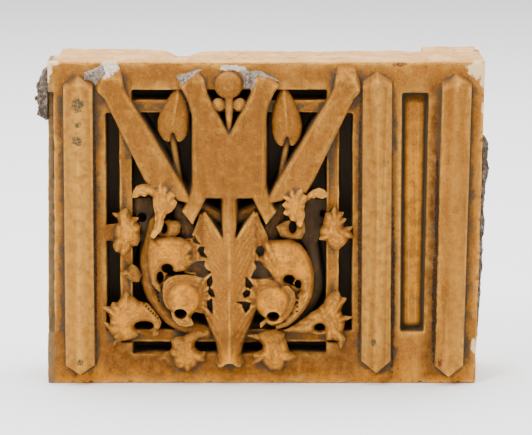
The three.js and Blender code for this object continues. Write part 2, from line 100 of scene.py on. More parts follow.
# Losses at the corners, on the right arris and at the scooped notch: centre and radius
BREAKS = (
    (-206, 307, 3, 7.5), (-205, 297, 4, 6), (-206, 288, 3, 4.5), (209, 306, 4, 8), (209, 295, 5, 7),
    (202, 308, 5, 6), (203, 36, 4, 6), (SCOOP, 316, -52, 16),
)
CHIPS = 140  # small losses along the arrises
RNG = np.random.default_rng(7)

# Marks on the face: centre, half width and half height
MOULD = ((-173.5, 267, 6, 7.5), (-173, 248.5, 3, 3), (-174, 233, 5, 5), (-173, 23, 3, 3), (103, 42, 3.5, 4))
BROKEN = (
    (-203, 299, 6, 12), (-199, 305, 8, 2.5), (201, 299, 12, 9), (206, 289, 5, 8), (198, 36, 3, 7),
    (-203, 268, 3, 9), (205, 262, 2, 6),
)
PLASTER = ((-144, 302, 8, 5), (-147, 297, 5, 6), (-140, 301, 5, 6), (-31, 300.5, 12, 3), (-22, 299.5, 6, 3))
# thin dark lines beside the bars: soot and painted shade
SOOT_AND_SHADE = (
    (121, 90, 2.2, 80), (160.3, 75, 2.4, 55), (162, 165, 1.9, 60), (89.8, 150, 1.9, 130),
    (-158.4, 150, 1.5, 130),
)
RUST = ((127, 303.5, 7, 2), (166, 22, 3, 4))

# Old brown stains, with painted shade beside the bars and in the flute: left, right, low, high and strength
STAINS_AND_SHADE = (
    # beside the bars, where stain and painted shade darken the creases, and on them
    (83, 91, 18, 270, 0.5), (155, 163, 10, 288, 0.75), (-160, -154, 20, 285, 0.4),
    (-194, -187, 5, 292, 0.35), (-188, -158, 8, 294, 0.17), (91, 121, 10, 297, 0.26),
    (162, 192, 8, 295, 0.12), (117, 124, 20, 230, 0.15),
    # along the walls and at the head of the flute, stain and painted shade, and below it
    (129.5, 132, 52, 280, 0.5), (148.5, 156, 60, 280, 0.5), (128, 152, 266, 280, 0.5),
    (150, 166, 4, 46, 0.55),
    # over the shield and the straps
    (AXIS - 40, AXIS + 40, 170, 300, 0.3), (AXIS - 122, AXIS - 40, 190, 300, 0.22),
    (AXIS + 40, AXIS + 122, 190, 300, 0.18),
    # along the foot of the face
    (-160, -118, 24, 42, 0.3), (AXIS - 90, AXIS + 90, 39, 52, 0.35), (40, 60, 12, 26, 0.3),
    (-203, -188, 0, 60, 0.3),
)
STAIN_AND_SHADE_FADE = 7

# Shine of the clay and mortar, and of the floor
MATT, SATIN = 0.1, 0.5

# Mortar on the ends: side, low, high, front, back, thickness, and share of it by height
END_MORTAR = {
    "mortar_left_end": (
        LEFT, 250, 300, -3, -40, 9,
        ((250, 0.3), (254, 1), (284, 1), (296, 0.5), (300, 0.1)),
    ),
    "mortar_right_end": (
        RIGHT, 42, 233, -6, -44, 6.5,
        ((42, 0.2), (100, 0.5), (150, 0.62), (190, 0.65), (197, 0.9), (224, 1), (233, 0.3)),
    ),
}

# Dabs of mortar on the face: thickness and outline
FACE_MORTAR = {
    "mortar_strap_head": (5, [
        (-169, 296.5), (-161.5, 299), (-150, 304), (-146.5, 295.5), (-154, 289), (-156.5, 283),
        (-160.5, 287), (-167, 289.5),
    ]),
    "mortar_shield_arm": (3, [
        (-82.5, 293.5), (-76, 295.5), (-66.5, 298), (-59, 300), (-56, 298.5), (-63, 295),
        (-69.5, 290.5), (-74.5, 285.5), (-78, 283), (-80.5, 289),
    ]),
    "mortar_fruit": (4, [
        (-24.5, 298.5), (-13, 299), (-2, 297.5), (7.5, 293), (15, 288), (13, 287), (4, 290.5),
        (-5.5, 293), (-8, 285), (-12, 275.5), (-16, 270.5), (-19.5, 275.5), (-19.5, 287),
        (-21.5, 293.5),
    ]),
}

# Studio lights: place, size and power
LIGHTS = {
    "key": ((-1.2, -1.9, 2.5), 1.0, 80),
    "fill": ((1.8, -2.4, 1.2), 1.6, 15),
    "top": ((0, 0.6, 3.0), 3.0, 300),
}
LIT_POINT = Vector((0, 0, 0.15))
SKY = 0.6

# The camera: pitch in degrees, distance and aim in metres, and focal length over sensor width
PITCH, DISTANCE = 9.8, 3.3
AIM = Vector((0.0019, -BED / 2000, 0.1591))
SENSOR, FOCAL_RATIO = 36, 6.614


# Distances and height maps
def smin(a, b, k):
    """The smaller of two distances, rounded where they meet."""
    h = np.clip(0.5 + 0.5 * (b - a) / k, 0, 1)
    return b + (a - b) * h - k * h * (1 - h)


def smax(a, b, k):
    """The larger of two distances, rounded where they meet."""
    return -smin(-a, -b, k)


def smoothstep(x, a, b):
    """From nothing at a to one at b."""
    t = np.clip((x - a) / (b - a), 0, 1)
    return t * t * (3 - 2 * t)


def lattice_noise(u, v, w, size, seed):
    """Smooth value noise in -1..1 with features of that size."""
    entries = 4096
    table = np.random.default_rng(seed).uniform(-1, 1, entries).astype(np.float32)

    def corner(i, j, k):
        return table[(i * 73 + j * 157 + k * 311) & (entries - 1)]

    p = [np.asarray(a, np.float32) / size + 1000 for a in (u, v, w)]
    base = [np.floor(a).astype(np.int32) for a in p]
    f = [a - b for a, b in zip(p, base)]
    f = [a * a * (3 - 2 * a) for a in f]
    total = 0
    for step in CORNERS:
        a, b, c = (x if d else 1 - x for x, d in zip(f, step))
        total = total + a * b * c * corner(*(x + d for x, d in zip(base, step)))
    return total


def flat_noise(u, v, size, seed):
    """The same noise over the plane of the face."""
    return lattice_noise(u, v, 0 * u, size, seed)


def polygon(u, v, points):
    """Signed distance to a closed outline in the plane of the face, negative inside."""
    best = np.full(u.shape, 1e12, np.float32)
    inside = np.zeros(u.shape, bool)
    for (au, av), (bu, bv) in zip(points, points[1:] + points[:1]):
        eu, ev = bu - au, bv - av
        du, dv = u - au, v - av
        t = np.clip((du * eu + dv * ev) / (eu * eu + ev * ev + 1e-9), 0, 1)
        best = np.minimum(best, (du - eu * t) ** 2 + (dv - ev * t) ** 2)
        if ev:
            inside ^= ((v >= av) != (v >= bv)) & (du < eu * dv / ev)
    return np.where(inside, -1, 1) * np.sqrt(best)


def capsule(u, v, a, b, ra, rb):
    """Distance to a tapering stroke from a to b."""
    eu, ev = b[0] - a[0], b[1] - a[1]
    t = np.clip(((u - a[0]) * eu + (v - a[1]) * ev) / (eu * eu + ev * ev + 1e-9), 0, 1)
    return np.hypot(u - a[0] - eu * t, v - a[1] - ev * t) - (ra + (rb - ra) * t)


def ellipse(u, v, cu, cv, ru, rv):
    """Distance to an upright ellipse, near enough close to its edge."""
    a, b = (u - cu) / ru, (v - cv) / rv
    r = np.sqrt(a * a + b * b) + 1e-6
    return (r - 1) * r / np.sqrt((a / ru) ** 2 + (b / rv) ** 2 + 1e-9)


def rectangle(u, v, u0, u1, v0, v1, k=1.0):
    """Distance to a rectangle with corners rounded by k."""
    across = np.abs(u - (u0 + u1) / 2) - (u1 - u0) / 2
    up = np.abs(v - (v0 + v1) / 2) - (v1 - v0) / 2
    return smax(across, up, k)


def bezier(a, c, b, n=8):
    """Points along a curve from a to b that bends towards c."""
    return [
        tuple((1 - t) ** 2 * p + 2 * t * (1 - t) * q + t * t * r for p, q, r in zip(a, c, b))
        for t in np.linspace(0, 1, n)
    ]


def spline(points, n=8):
    """A smooth run through the points, with n steps from each to the next."""
    pts = np.array(points, float)
    ext = np.vstack([2 * pts[0] - pts[1], pts, 2 * pts[-1] - pts[-2]])
    out = []
    for p0, p1, p2, p3 in zip(ext, ext[1:], ext[2:], ext[3:]):
        for t in np.linspace(0, 1, n, endpoint=False):
            bend = (2 * p0 - 5 * p1 + 4 * p2 - p3) * t**2
            turn = (3 * p1 - p0 - 3 * p2 + p3) * t**3
            out.append(0.5 * (2 * p1 + (p2 - p0) * t + bend + turn))
    out.append(pts[-1])
    return np.array(out)


def puff(mask, step, rounds=400):
    """Height of a skin blown up over a flat outline: half a ball over a circle."""
    phi = np.zeros(mask.shape, np.float32)
    source = np.float32(step * step)
    for _ in range(rounds):
        phi[1:-1, 1:-1] = 0.25 * (phi[2:, 1:-1] + phi[:-2, 1:-1] + phi[1:-1, 2:] + phi[1:-1, :-2] + source)
        phi *= mask
    return 2 * np.sqrt(phi)


def blur(a, cells, axes):
    """A box blur along each axis, run twice."""
    for axis in axes:
        for _ in range(2):
            pad = [(0, 0)] * a.ndim
            pad[axis] = (cells + 1, cells)
            c = np.cumsum(np.pad(a, pad, mode="edge"), axis=axis, dtype=np.float64)
            n = a.shape[axis]
            hi = np.take(c, range(2 * cells + 1, 2 * cells + 1 + n), axis=axis)
            lo = np.take(c, range(0, n), axis=axis)
            a = ((hi - lo) / (2 * cells + 1)).astype(np.float32)
    return a


class Field:
    """A block of signed distances that solids are added to and cut from."""

    whole = (slice(None), slice(None), slice(None))

    def __init__(self, lo, hi, step):
        self.lo, self.step = np.array(lo, np.float32), step
        self.axes = [np.arange(a, b + step / 2, step, dtype=np.float32) for a, b in zip(lo, hi)]
        self.d = np.full([len(a) for a in self.axes], 50, np.float32)
        x, z = np.meshgrid(self.axes[0], self.axes[1], indexing="ij")
        self.v = z
        self.u = x - lean(x) * (z - MID)

    def window(self, u0, u1, v0, v1, w0, w1, margin=5):
        """The part of the block inside a box, with a margin round it."""
        spans = []
        for axis, (a, b) in zip(self.axes, ((u0, u1), (v0, v1), (w0, w1))):
            i = max(0, int(np.searchsorted(axis, a - margin)))
            j = min(len(axis), int(np.searchsorted(axis, b + margin)))
            spans.append(slice(i, max(i, j)))
        return tuple(spans)

    def plane(self, win):
        """u, v as flat arrays, and w along the third axis."""
        return self.u[win[:2]], self.v[win[:2]], self.axes[2][win[2]][None, None, :]

    def add(self, win, f, k):
        """Join a solid on, with a fillet of about k."""
        self.d[win] = smin(self.d[win], f.astype(np.float32), k)

    def cut(self, win, f, k):
        """Cut a solid away, with an edge rounded by about k."""
        self.d[win] = smax(self.d[win], -f.astype(np.float32), k)


def lean(x):
    """The warp of the fired clay: sideways run per unit of height."""
    right, left = RIGHT_LEAN, LEFT_LEAN
    return right[0] * smoothstep(x, *right[1:]) + left[0] * smoothstep(-x, *left[1:])


def deep(a):
    """A flat map, made ready to run through the depth."""
    return a[:, :, None]


# The face
def rough(u, v, seed):
    """Unevenness of pressed clay, about half a millimetre either way."""
    return 0.35 * flat_noise(u, v, 14, seed) + 0.2 * flat_noise(u, v, 4, seed + 1)


def slab(field):
    """The facing slab, with slightly uneven arrises and face, flat on its bed."""
    u, v, w = field.plane(field.whole)
    edge = rectangle(u, v, -WIDTH / 2, WIDTH / 2, 0, HEIGHT, 1.5) + rough(u, v, 1)
    front = w - deep(0.35 * flat_noise(u, v, 30, 3))
    field.d[:] = np.maximum(np.maximum(smax(deep(edge), front, 2.2), -SLAB - w), deep(-v))


def sink(field, u0, u1, v0, v1, floor):
    """A sunk panel with nearly upright walls."""
    corner, wobble, draft = 2.5, 0.3, 0.03
    win = field.window(u0, u1, v0, v1, floor, 12)
    u, v, w = field.plane(win)
    d = rectangle(u, v, u0, u1, v0, v1, corner) + wobble * flat_noise(u, v, 9, 5)
    field.cut(win, smax(deep(d) - draft * w, floor - w, 1.5), 1.2)


def openings(field):
    """The sunk ground, the slots round it, and the strips between them, which lie a little back."""
    half, low, high = 115.7, 28.5, 280.0
    slot, sill, strip, strip_floor = 13.0, 10.8, 11.2, -6.0
    left, right = AXIS - half, AXIS + half
    across = (left + slot + strip, right - slot - strip)
    upright = (low + sill + strip, high - sill - strip)
    for ends in (across, (left, left + slot), (right - slot, right)):
        sink(field, *ends, *upright, GROUND)
    for heights in ((low, low + sill), (high - sill, high)):
        sink(field, *across, *heights, GROUND)
    sink(field, left + slot, right - slot, low + sill, high - sill, strip_floor)


def flute(field):
    """The sunk flute: its floor is crowned, and falls away at both ends."""
    left, right, low, high = FLUTE
    floor, crown, half, power = -14, 5.5, 11.7, 2.4
    low_run, high_run, draft = 9, 12, 0.04
    win = field.window(*FLUTE, floor - 10, 10)
    u, v, w = field.plane(win)
    rise = crown * (1 - np.clip(np.abs(u - (left + right) / 2) / half, 0, 1) ** power)
    top = floor + rise * smoothstep(v, low, low + low_run) * smoothstep(-v, -high, high_run - high)
    d = rectangle(u, v, *FLUTE, 3)
    field.cut(win, smax(deep(d) - draft * w, deep(top) - w, 2.0), 1.2)


def rebate(field):
    """The strip broken away along the left arris."""
    inner, low, high, floor = -196.8, 48.6, 277.7, -10
    outer, area = -230, (-210, -196, 48, 278)
    win = field.window(*area, floor - 4, 10)
    u, v, w = field.plane(win)
    broken = 3 * rough(u, v, 8)
    d = rectangle(u, v, outer, inner, low, high, 2) + 0.5 * broken
    field.cut(win, smax(deep(d), deep(floor + 1.5 * broken) - w, 1.5), 1.0)


def bar(field, cu, low, shoulder_low, shoulder_high, high):
    """A bar with a low ridge, steep sides and pointed ends; the upper end slopes back."""
    half, edge, ridge = 14.0, 9.0, 13.0
    draft, foot_draft, soft = 0.06, 0.2, 1.3
    head_slope, slope_length = 1.5, 1.8
    win = field.window(cu - half, cu + half, low - 2, high + 2, -3, ridge)
    u, v, w = field.plane(win)
    du = np.abs(u - cu)
    head = high - (high - shoulder_high) * du / half - v
    foot = v - (low - 1) - (shoulder_low - low) * du / half
    f = w - deep(ridge - (ridge - edge) * du / half)
    f = smax(f, deep(du - half) + w * draft, 1.0)
    f = smax(f, (w - deep(head_slope * head)) / slope_length, soft)
    f = smax(f, w * foot_draft - deep(foot), soft)
    field.add(win, f, 1.0)


def slab_piece(field, box, d, top, bevel, draft, soft=1.0, blend=0.8):
    """A flat-faced piece: outline distance and front height over the plane of the face."""
    win = field.window(*box, FOOT, float(np.max(top)) + 2, margin=0)
    w = field.axes[2][win[2]][None, None, :]
    top = np.broadcast_to(np.asarray(top, np.float32), d.shape)
    f = smax(w - deep(top), deep(d) + draft * (w - deep(top)), soft)
    f = smax(f, (w - deep(top) + deep(d) + bevel) * DIAGONAL, soft)
    field.add(win, np.maximum(f, FOOT - w), blend)


def outline_area(field, box):
    """u and v over a box on the face."""
    win = field.window(*box, -1, 1, margin=0)
    return field.u[win[:2]], field.v[win[:2]]


def beside(side, near, far, low, high):
    """A box on one side of the axis, between two distances from it and two heights."""
    ends = (AXIS + side * near, AXIS + side * far)
    return (min(ends), max(ends), low, high)


def strap(field, side):
    """One arm of the V: it widens downwards, and its head slopes back on two sides."""
    face, head_from, head_top, shoulder = 8.5, 262, 303.8, 281.5
    box = beside(side, 20, 132, 160, 306)
    u, v = outline_area(field, box)
    off = (u - AXIS) * side
    inner = [(33, 172), (93.4, 272.2), (98, 281.7)]
    head = [(101.5, 304), (117.5, 304), (125, shoulder)]
    outer = [(116, 272.2), (79.2, 196.1), (72, 183)]
    d = polygon(off, v, inner + head + outer) + rough(u, v, 15) * smoothstep(-v, -200, -180)
    top = face + 0.4 * flat_noise(u, v, 20, 11)
    fall = np.minimum((head_top - v) * 0.62, (127 - off - (v - shoulder) * 0.4) * 1.4)
    top = np.where(v > head_from, np.minimum(top, np.maximum(fall, -1)), top)
    slab_piece(field, box, d, top, bevel=2.2, draft=0.07)


def shield(field):
    """The shield: a notch between two arms above and two splayed feet below."""
    face, camber, arm_from, arm_top = 9.5, 2.5, 276, 298.5
    notch, crotch, crest_foot = 238.0, 178.7, 136
    box = (AXIS - 52, AXIS + 52, 148, 304)
    u, v = outline_area(field, box)
    off = np.abs(u - AXIS)
    half_line = [(0, notch), (20.5, 275.5), (23.5, 290), (29, 298), (39, 292.5), (46.5, 284.5)]
    half_line += bezier((46.5, 284.5), (35.5, 270), (34, 253))[1:]
    half_line += bezier((34, 192), (35.5, 180), (44, 165.5))
    half_line += [(34.5, 153.5), (22, crotch), (0, crotch)]
    d = polygon(off, v, half_line + [(-1, crotch), (-1, notch)])
    top = face + camber * (1 - off / 40) - 0.02 * np.abs(v - 225) + 0.3 * flat_noise(u, v, 20, 12)
    hip = np.minimum(arm_top - v, (331 - off - v) * 0.8 + (off - 24) * 0.25)
    top = np.minimum(top, np.where(v > arm_from, np.maximum(hip, -1), 99))
    slab_piece(field, box, d, top, bevel=2.2, draft=0.07)
    # a crest down the middle, wider towards its foot
    flare = 4.5 * smoothstep(-v, -236, -180)
    crest = np.maximum(off - 1.2 - flare, np.maximum(v - notch, crest_foot - v))
    slab_piece(field, box, crest, 12.5 - 0.5 * off, bevel=1.0, draft=0.1, blend=2.5)


def spearhead(field):
    """The ridged leaf on the axis, with two arms above, wings below and a flared foot."""
    box = (AXIS - 34, AXIS + 34, 10, 172)
    u, v = outline_area(field, box)
    off = np.abs(u - AXIS)
    arm = [(5, 139), (23, 164.5), (28.4, 162.5), (25.5, 146)]
    blade = [(23, 130), (20, 115), (17.3, 96), (16.8, 81), (24.8, 71.5), (18.4, 54), (12, 38.5)]
    foot = [(10.6, 29.5), (13.6, 21), (11, 16), (7, 17), (3.5, 20.5), (0, 21.5)]
    d = polygon(off, v, arm + blade + foot + [(-1, 21.5), (-1, 139)])
    heights = [15, 29, 38, 54, 72, 81, 96, 115, 130, 165]
    half = np.interp(v, heights, [12, 10.6, 12, 18.4, 23, 16.8, 17.3, 20, 23, 29])
    edge, ridge, stroke, arm_fall = 4.0, 10.0, 0.35, 3
    top = edge + ridge * np.clip(1 - off / half, 0, 1) + 0.3 * flat_noise(u, v, 14, 13)
    strokes = np.sin((v - 1.6 * off) * 0.75 + 2.5 * flat_noise(u, v, 12, 14))
    top = top + stroke * strokes * smoothstep(off, 3, 9) - arm_fall * smoothstep(v, 140, 165)
    slab_piece(field, box, d, top, bevel=1.4, draft=0.08)
    stalk_half, stalk_foot, stalk_head = 5.6, 134, 182
    stalk = np.maximum(off - stalk_half, np.maximum(v - stalk_head, stalk_foot - v))
    rising = 10.5 + 3.5 * smoothstep(-v, -158, -138) - 0.35 * off
    slab_piece(field, box, stalk, rising, bevel=1.4, draft=0.06, blend=1.5)


def swag(field):
    """A curved band seen through the windows under the shield."""
    box = (AXIS - 36, AXIS + 36, 148, 196)
    u, v = outline_area(field, box)
    off = np.abs(u - AXIS)
    half, front = 6.0, -8.5
    d = capsule(off, v, (0, 154), (26, 165.5), half, half)
    slab_piece(field, box, d, front + 0.06 * off, bevel=3, draft=0.12)


def ball(field, cu, cv, cw, r, k=0.8, flat=1.0):
    """Half a ball on a drum that tapers down to the ground."""
    win = field.window(cu - r, cu + r, cv - r, cv + r, FOOT, cw + r)
    u, v, w = field.plane(win)
    rho = deep(np.hypot(u - cu, v - cv))
    up = np.sqrt(rho**2 + ((w - cw) / flat) ** 2) - r
    f = np.maximum(np.where(w > cw, up, rho - r + 0.25 * (cw - w)), FOOT - w)
    field.add(win, f, k)


def fruit(field):
    """A round fruit with two berries and a stem, in the notch of the shield."""
    ball(field, AXIS - 0.7, 284.2, -1, 13.2, flat=0.95)
    for side in (LEFT, RIGHT):
        ball(field, AXIS + side * 9.8, 266.3, 2.5, 6.4)
    box = (AXIS - 8, AXIS + 8, 234, 276)
    u, v = outline_area(field, box)
    stem_foot, stem_head, stem_front = 238, 274, 6.5
    half = np.interp(v, [240, 262], [1.6, 3.7])
    d = np.maximum(np.abs(u - AXIS) - half, np.maximum(v - stem_head, stem_foot - v))
    slab_piece(field, box, d, stem_front, bevel=1.6, draft=0.05)


def bud(field, side, apex, low, mid_off, half, lean_off):
    """A pointed bud with a rounded back, nicked below where its stalk enters."""
    tip_off, high = apex
    box = beside(side, mid_off - 22, mid_off + 22, 180, 290)
    u, v = outline_area(field, box)
    off = (u - AXIS) * side
    t = np.clip((v - low) / (high - low), 0, 1)
    bend = (tip_off - mid_off) * smoothstep(t, 0.1, 1.0)
    du = off - (mid_off + bend - lean_off * (0.35 - np.minimum(t, 0.35)))
    stations = [0, 0.05, 0.12, 0.22, 0.36, 0.5, 0.65, 0.8, 0.92, 1.0]
    width = half * np.interp(t, stations, [0.45, 0.66, 0.84, 0.96, 1.0, 0.93, 0.76, 0.5, 0.24, 0.04])
    d = smax(np.abs(du) - width, np.maximum(low - v, v - high), 1.5)
    nick = capsule(du, v, (0, low - 4), (0, low + 8.5), 4.6, 0.6)
    d = smax(d, -nick, 1.2)
    edge, swell, rib_height, rib_half = -9, 0.85, 1.6, 1.8
    rib = rib_height * np.exp(-((du / rib_half) ** 2)) * smoothstep(t, 0.15, 0.5)
    top = edge + swell * puff(d < 0, field.step) + rib
    slab_piece(field, box, d, top, bevel=0.5, draft=-0.12, soft=1.2)
    stalk_foot, stalk_front = (mid_off - 8, 184), -8.5
    stalk = capsule(off, v, (mid_off, low + 6), stalk_foot, 3.2, 3.0)
    slab_piece(field, box, stalk, stalk_front, bevel=2.0, draft=0.0)


def placed(side, points):
    """Distances out from the axis as places on the face."""
    return [(AXIS + side * off, v) for off, v in points]


def around(points, margin=3.0):
    """The box round some points."""
    us, vs = [p[0] for p in points], [p[1] for p in points]
    return (min(us) - margin, max(us) + margin, min(vs) - margin, max(vs) + margin)


def valleys(points):
    """Corners of an outline that point inwards, between two lobes."""
    turn = 0.5 * sum(a[0] * b[1] - b[0] * a[1] for a, b in zip(points, points[1:] + points[:1]))
    found = []
    for a, b, c in zip(points[-1:] + points[:-1], points, points[1:] + points[:1]):
        cross = (b[0] - a[0]) * (c[1] - b[1]) - (b[1] - a[1]) * (c[0] - b[0])
        if cross * turn < 0:
            found.append(b)
    return found


def folded(top, u, v, points, depth):
    """A height map with grooves from the valleys of its outline in towards the heart of the leaf."""
    reach, half = 0.45, 1.5
    heart = np.mean(points, axis=0)
    for valley in valleys(points):
        inner = np.array(valley) + reach * (heart - valley)
        line = capsule(u, v, valley, inner, 0, 0)
        length = np.hypot(*(inner - valley)) + 1
        fade = np.clip(1.15 - np.hypot(u - valley[0], v - valley[1]) / length, 0, 1)
        top = top - depth * fade * np.exp(-((line / half) ** 2))
    return top


def leaf(field, side, outline, eyes=(), rim=1.0, rise=0.85, fold=2.0):
    """One leaf of the scroll: an outline that swells to a cushion, with folds and drilled eyes."""
    lip, ripple, undercut = 1.2, 0.3, 0.2
    points = placed(side, outline)
    box = around(points)
    u, v = outline_area(field, box)
    d = polygon(u, v, points) - 0.5
    holes = [ellipse(u, v, AXIS + side * off, cv, ru, rv) for off, cv, ru, rv in eyes]
    for hole in holes:
        d = smax(d, -hole, 1.0)
    full = blur(puff(d < 0, field.step), 1, (0, 1))
    swell = full * full / (full + 3)
    top = rim + lip + rise * swell + ripple * np.cos(d * 1.6) * smoothstep(-d, 1, 4)
    top = folded(top, u, v, points, fold)
    top = top + 0.35 * flat_noise(u, v, 7, 21) + 0.2 * flat_noise(u, v, 3, 22)
    win = field.window(*box, FOOT, float(np.max(top)) + 2, margin=0)
    w = field.axes[2][win[2]][None, None, :]
    wall = deep(d) + undercut * np.maximum(deep(np.minimum(top, rim)) - w, 0)
    f = smax((w - deep(top)) * 0.8, wall, 0.8)
    field.add(win, np.maximum(f, FOOT - w), 0.5)
    for hole in holes:
        field.cut(win, np.maximum(deep(hole), EYE_FLOOR - w), 0.8)


def stem(field, side, points, half, top, draft, round_off=0.5):
    """A rounded stem of the scroll along a smooth run of points."""
    run = spline(placed(side, points))
    box = around(list(run), 14)
    u, v = outline_area(field, box)
    d = np.full(u.shape, 50, np.float32)
    for a, b in zip(run[:-1], run[1:]):
        d = np.minimum(d, capsule(u, v, a, b, half, half))
    height = top - round_off * np.clip(d + half, 0, None) ** 2 / half
    slab_piece(field, box, d, height, bevel=0.5, draft=draft, soft=1.5)


def boss(field, side, centre, r, base, flat):
    """The round fruit in the cup of a lower scroll."""
    ball(field, AXIS + side * centre[0], centre[1], base, r, 0.6, flat)


def drill(field, side, centre, ru, rv):
    """A drilled eye that goes down nearly to the ground."""
    cu, cv = AXIS + side * centre[0], centre[1]
    win = field.window(cu - ru, cu + ru, cv - rv, cv + rv, GROUND, FOREMOST)
    u, v, w = field.plane(win)
    field.cut(win, np.maximum(deep(ellipse(u, v, cu, cv, ru, rv)), EYE_FLOOR - w), 1.0)


def pierce(field, side, outline, floor=-4.5):
    """A gap between two thorns, sunk to the bed behind them."""
    points = placed(side, outline)
    win = field.window(*around(points), floor - 2, 16, margin=0)
    u, v, w = field.plane(win)
    field.cut(win, smax(deep(polygon(u, v, points) - 0.4), floor - w, 1.5), 1.2)


def dots(field, side, start, end, count, r=0.9, low=-6.0, high=16.0):
    """A row of small drilled dots."""
    for cu, cv in placed(side, np.linspace(start, end, count)):
        win = field.window(cu - r, cu + r, cv - r, cv + r, low, high, margin=2)
        u, v, w = field.plane(win)
        field.cut(win, np.maximum(deep(np.hypot(u - cu, v - cv) - r), low - w), 0.4)


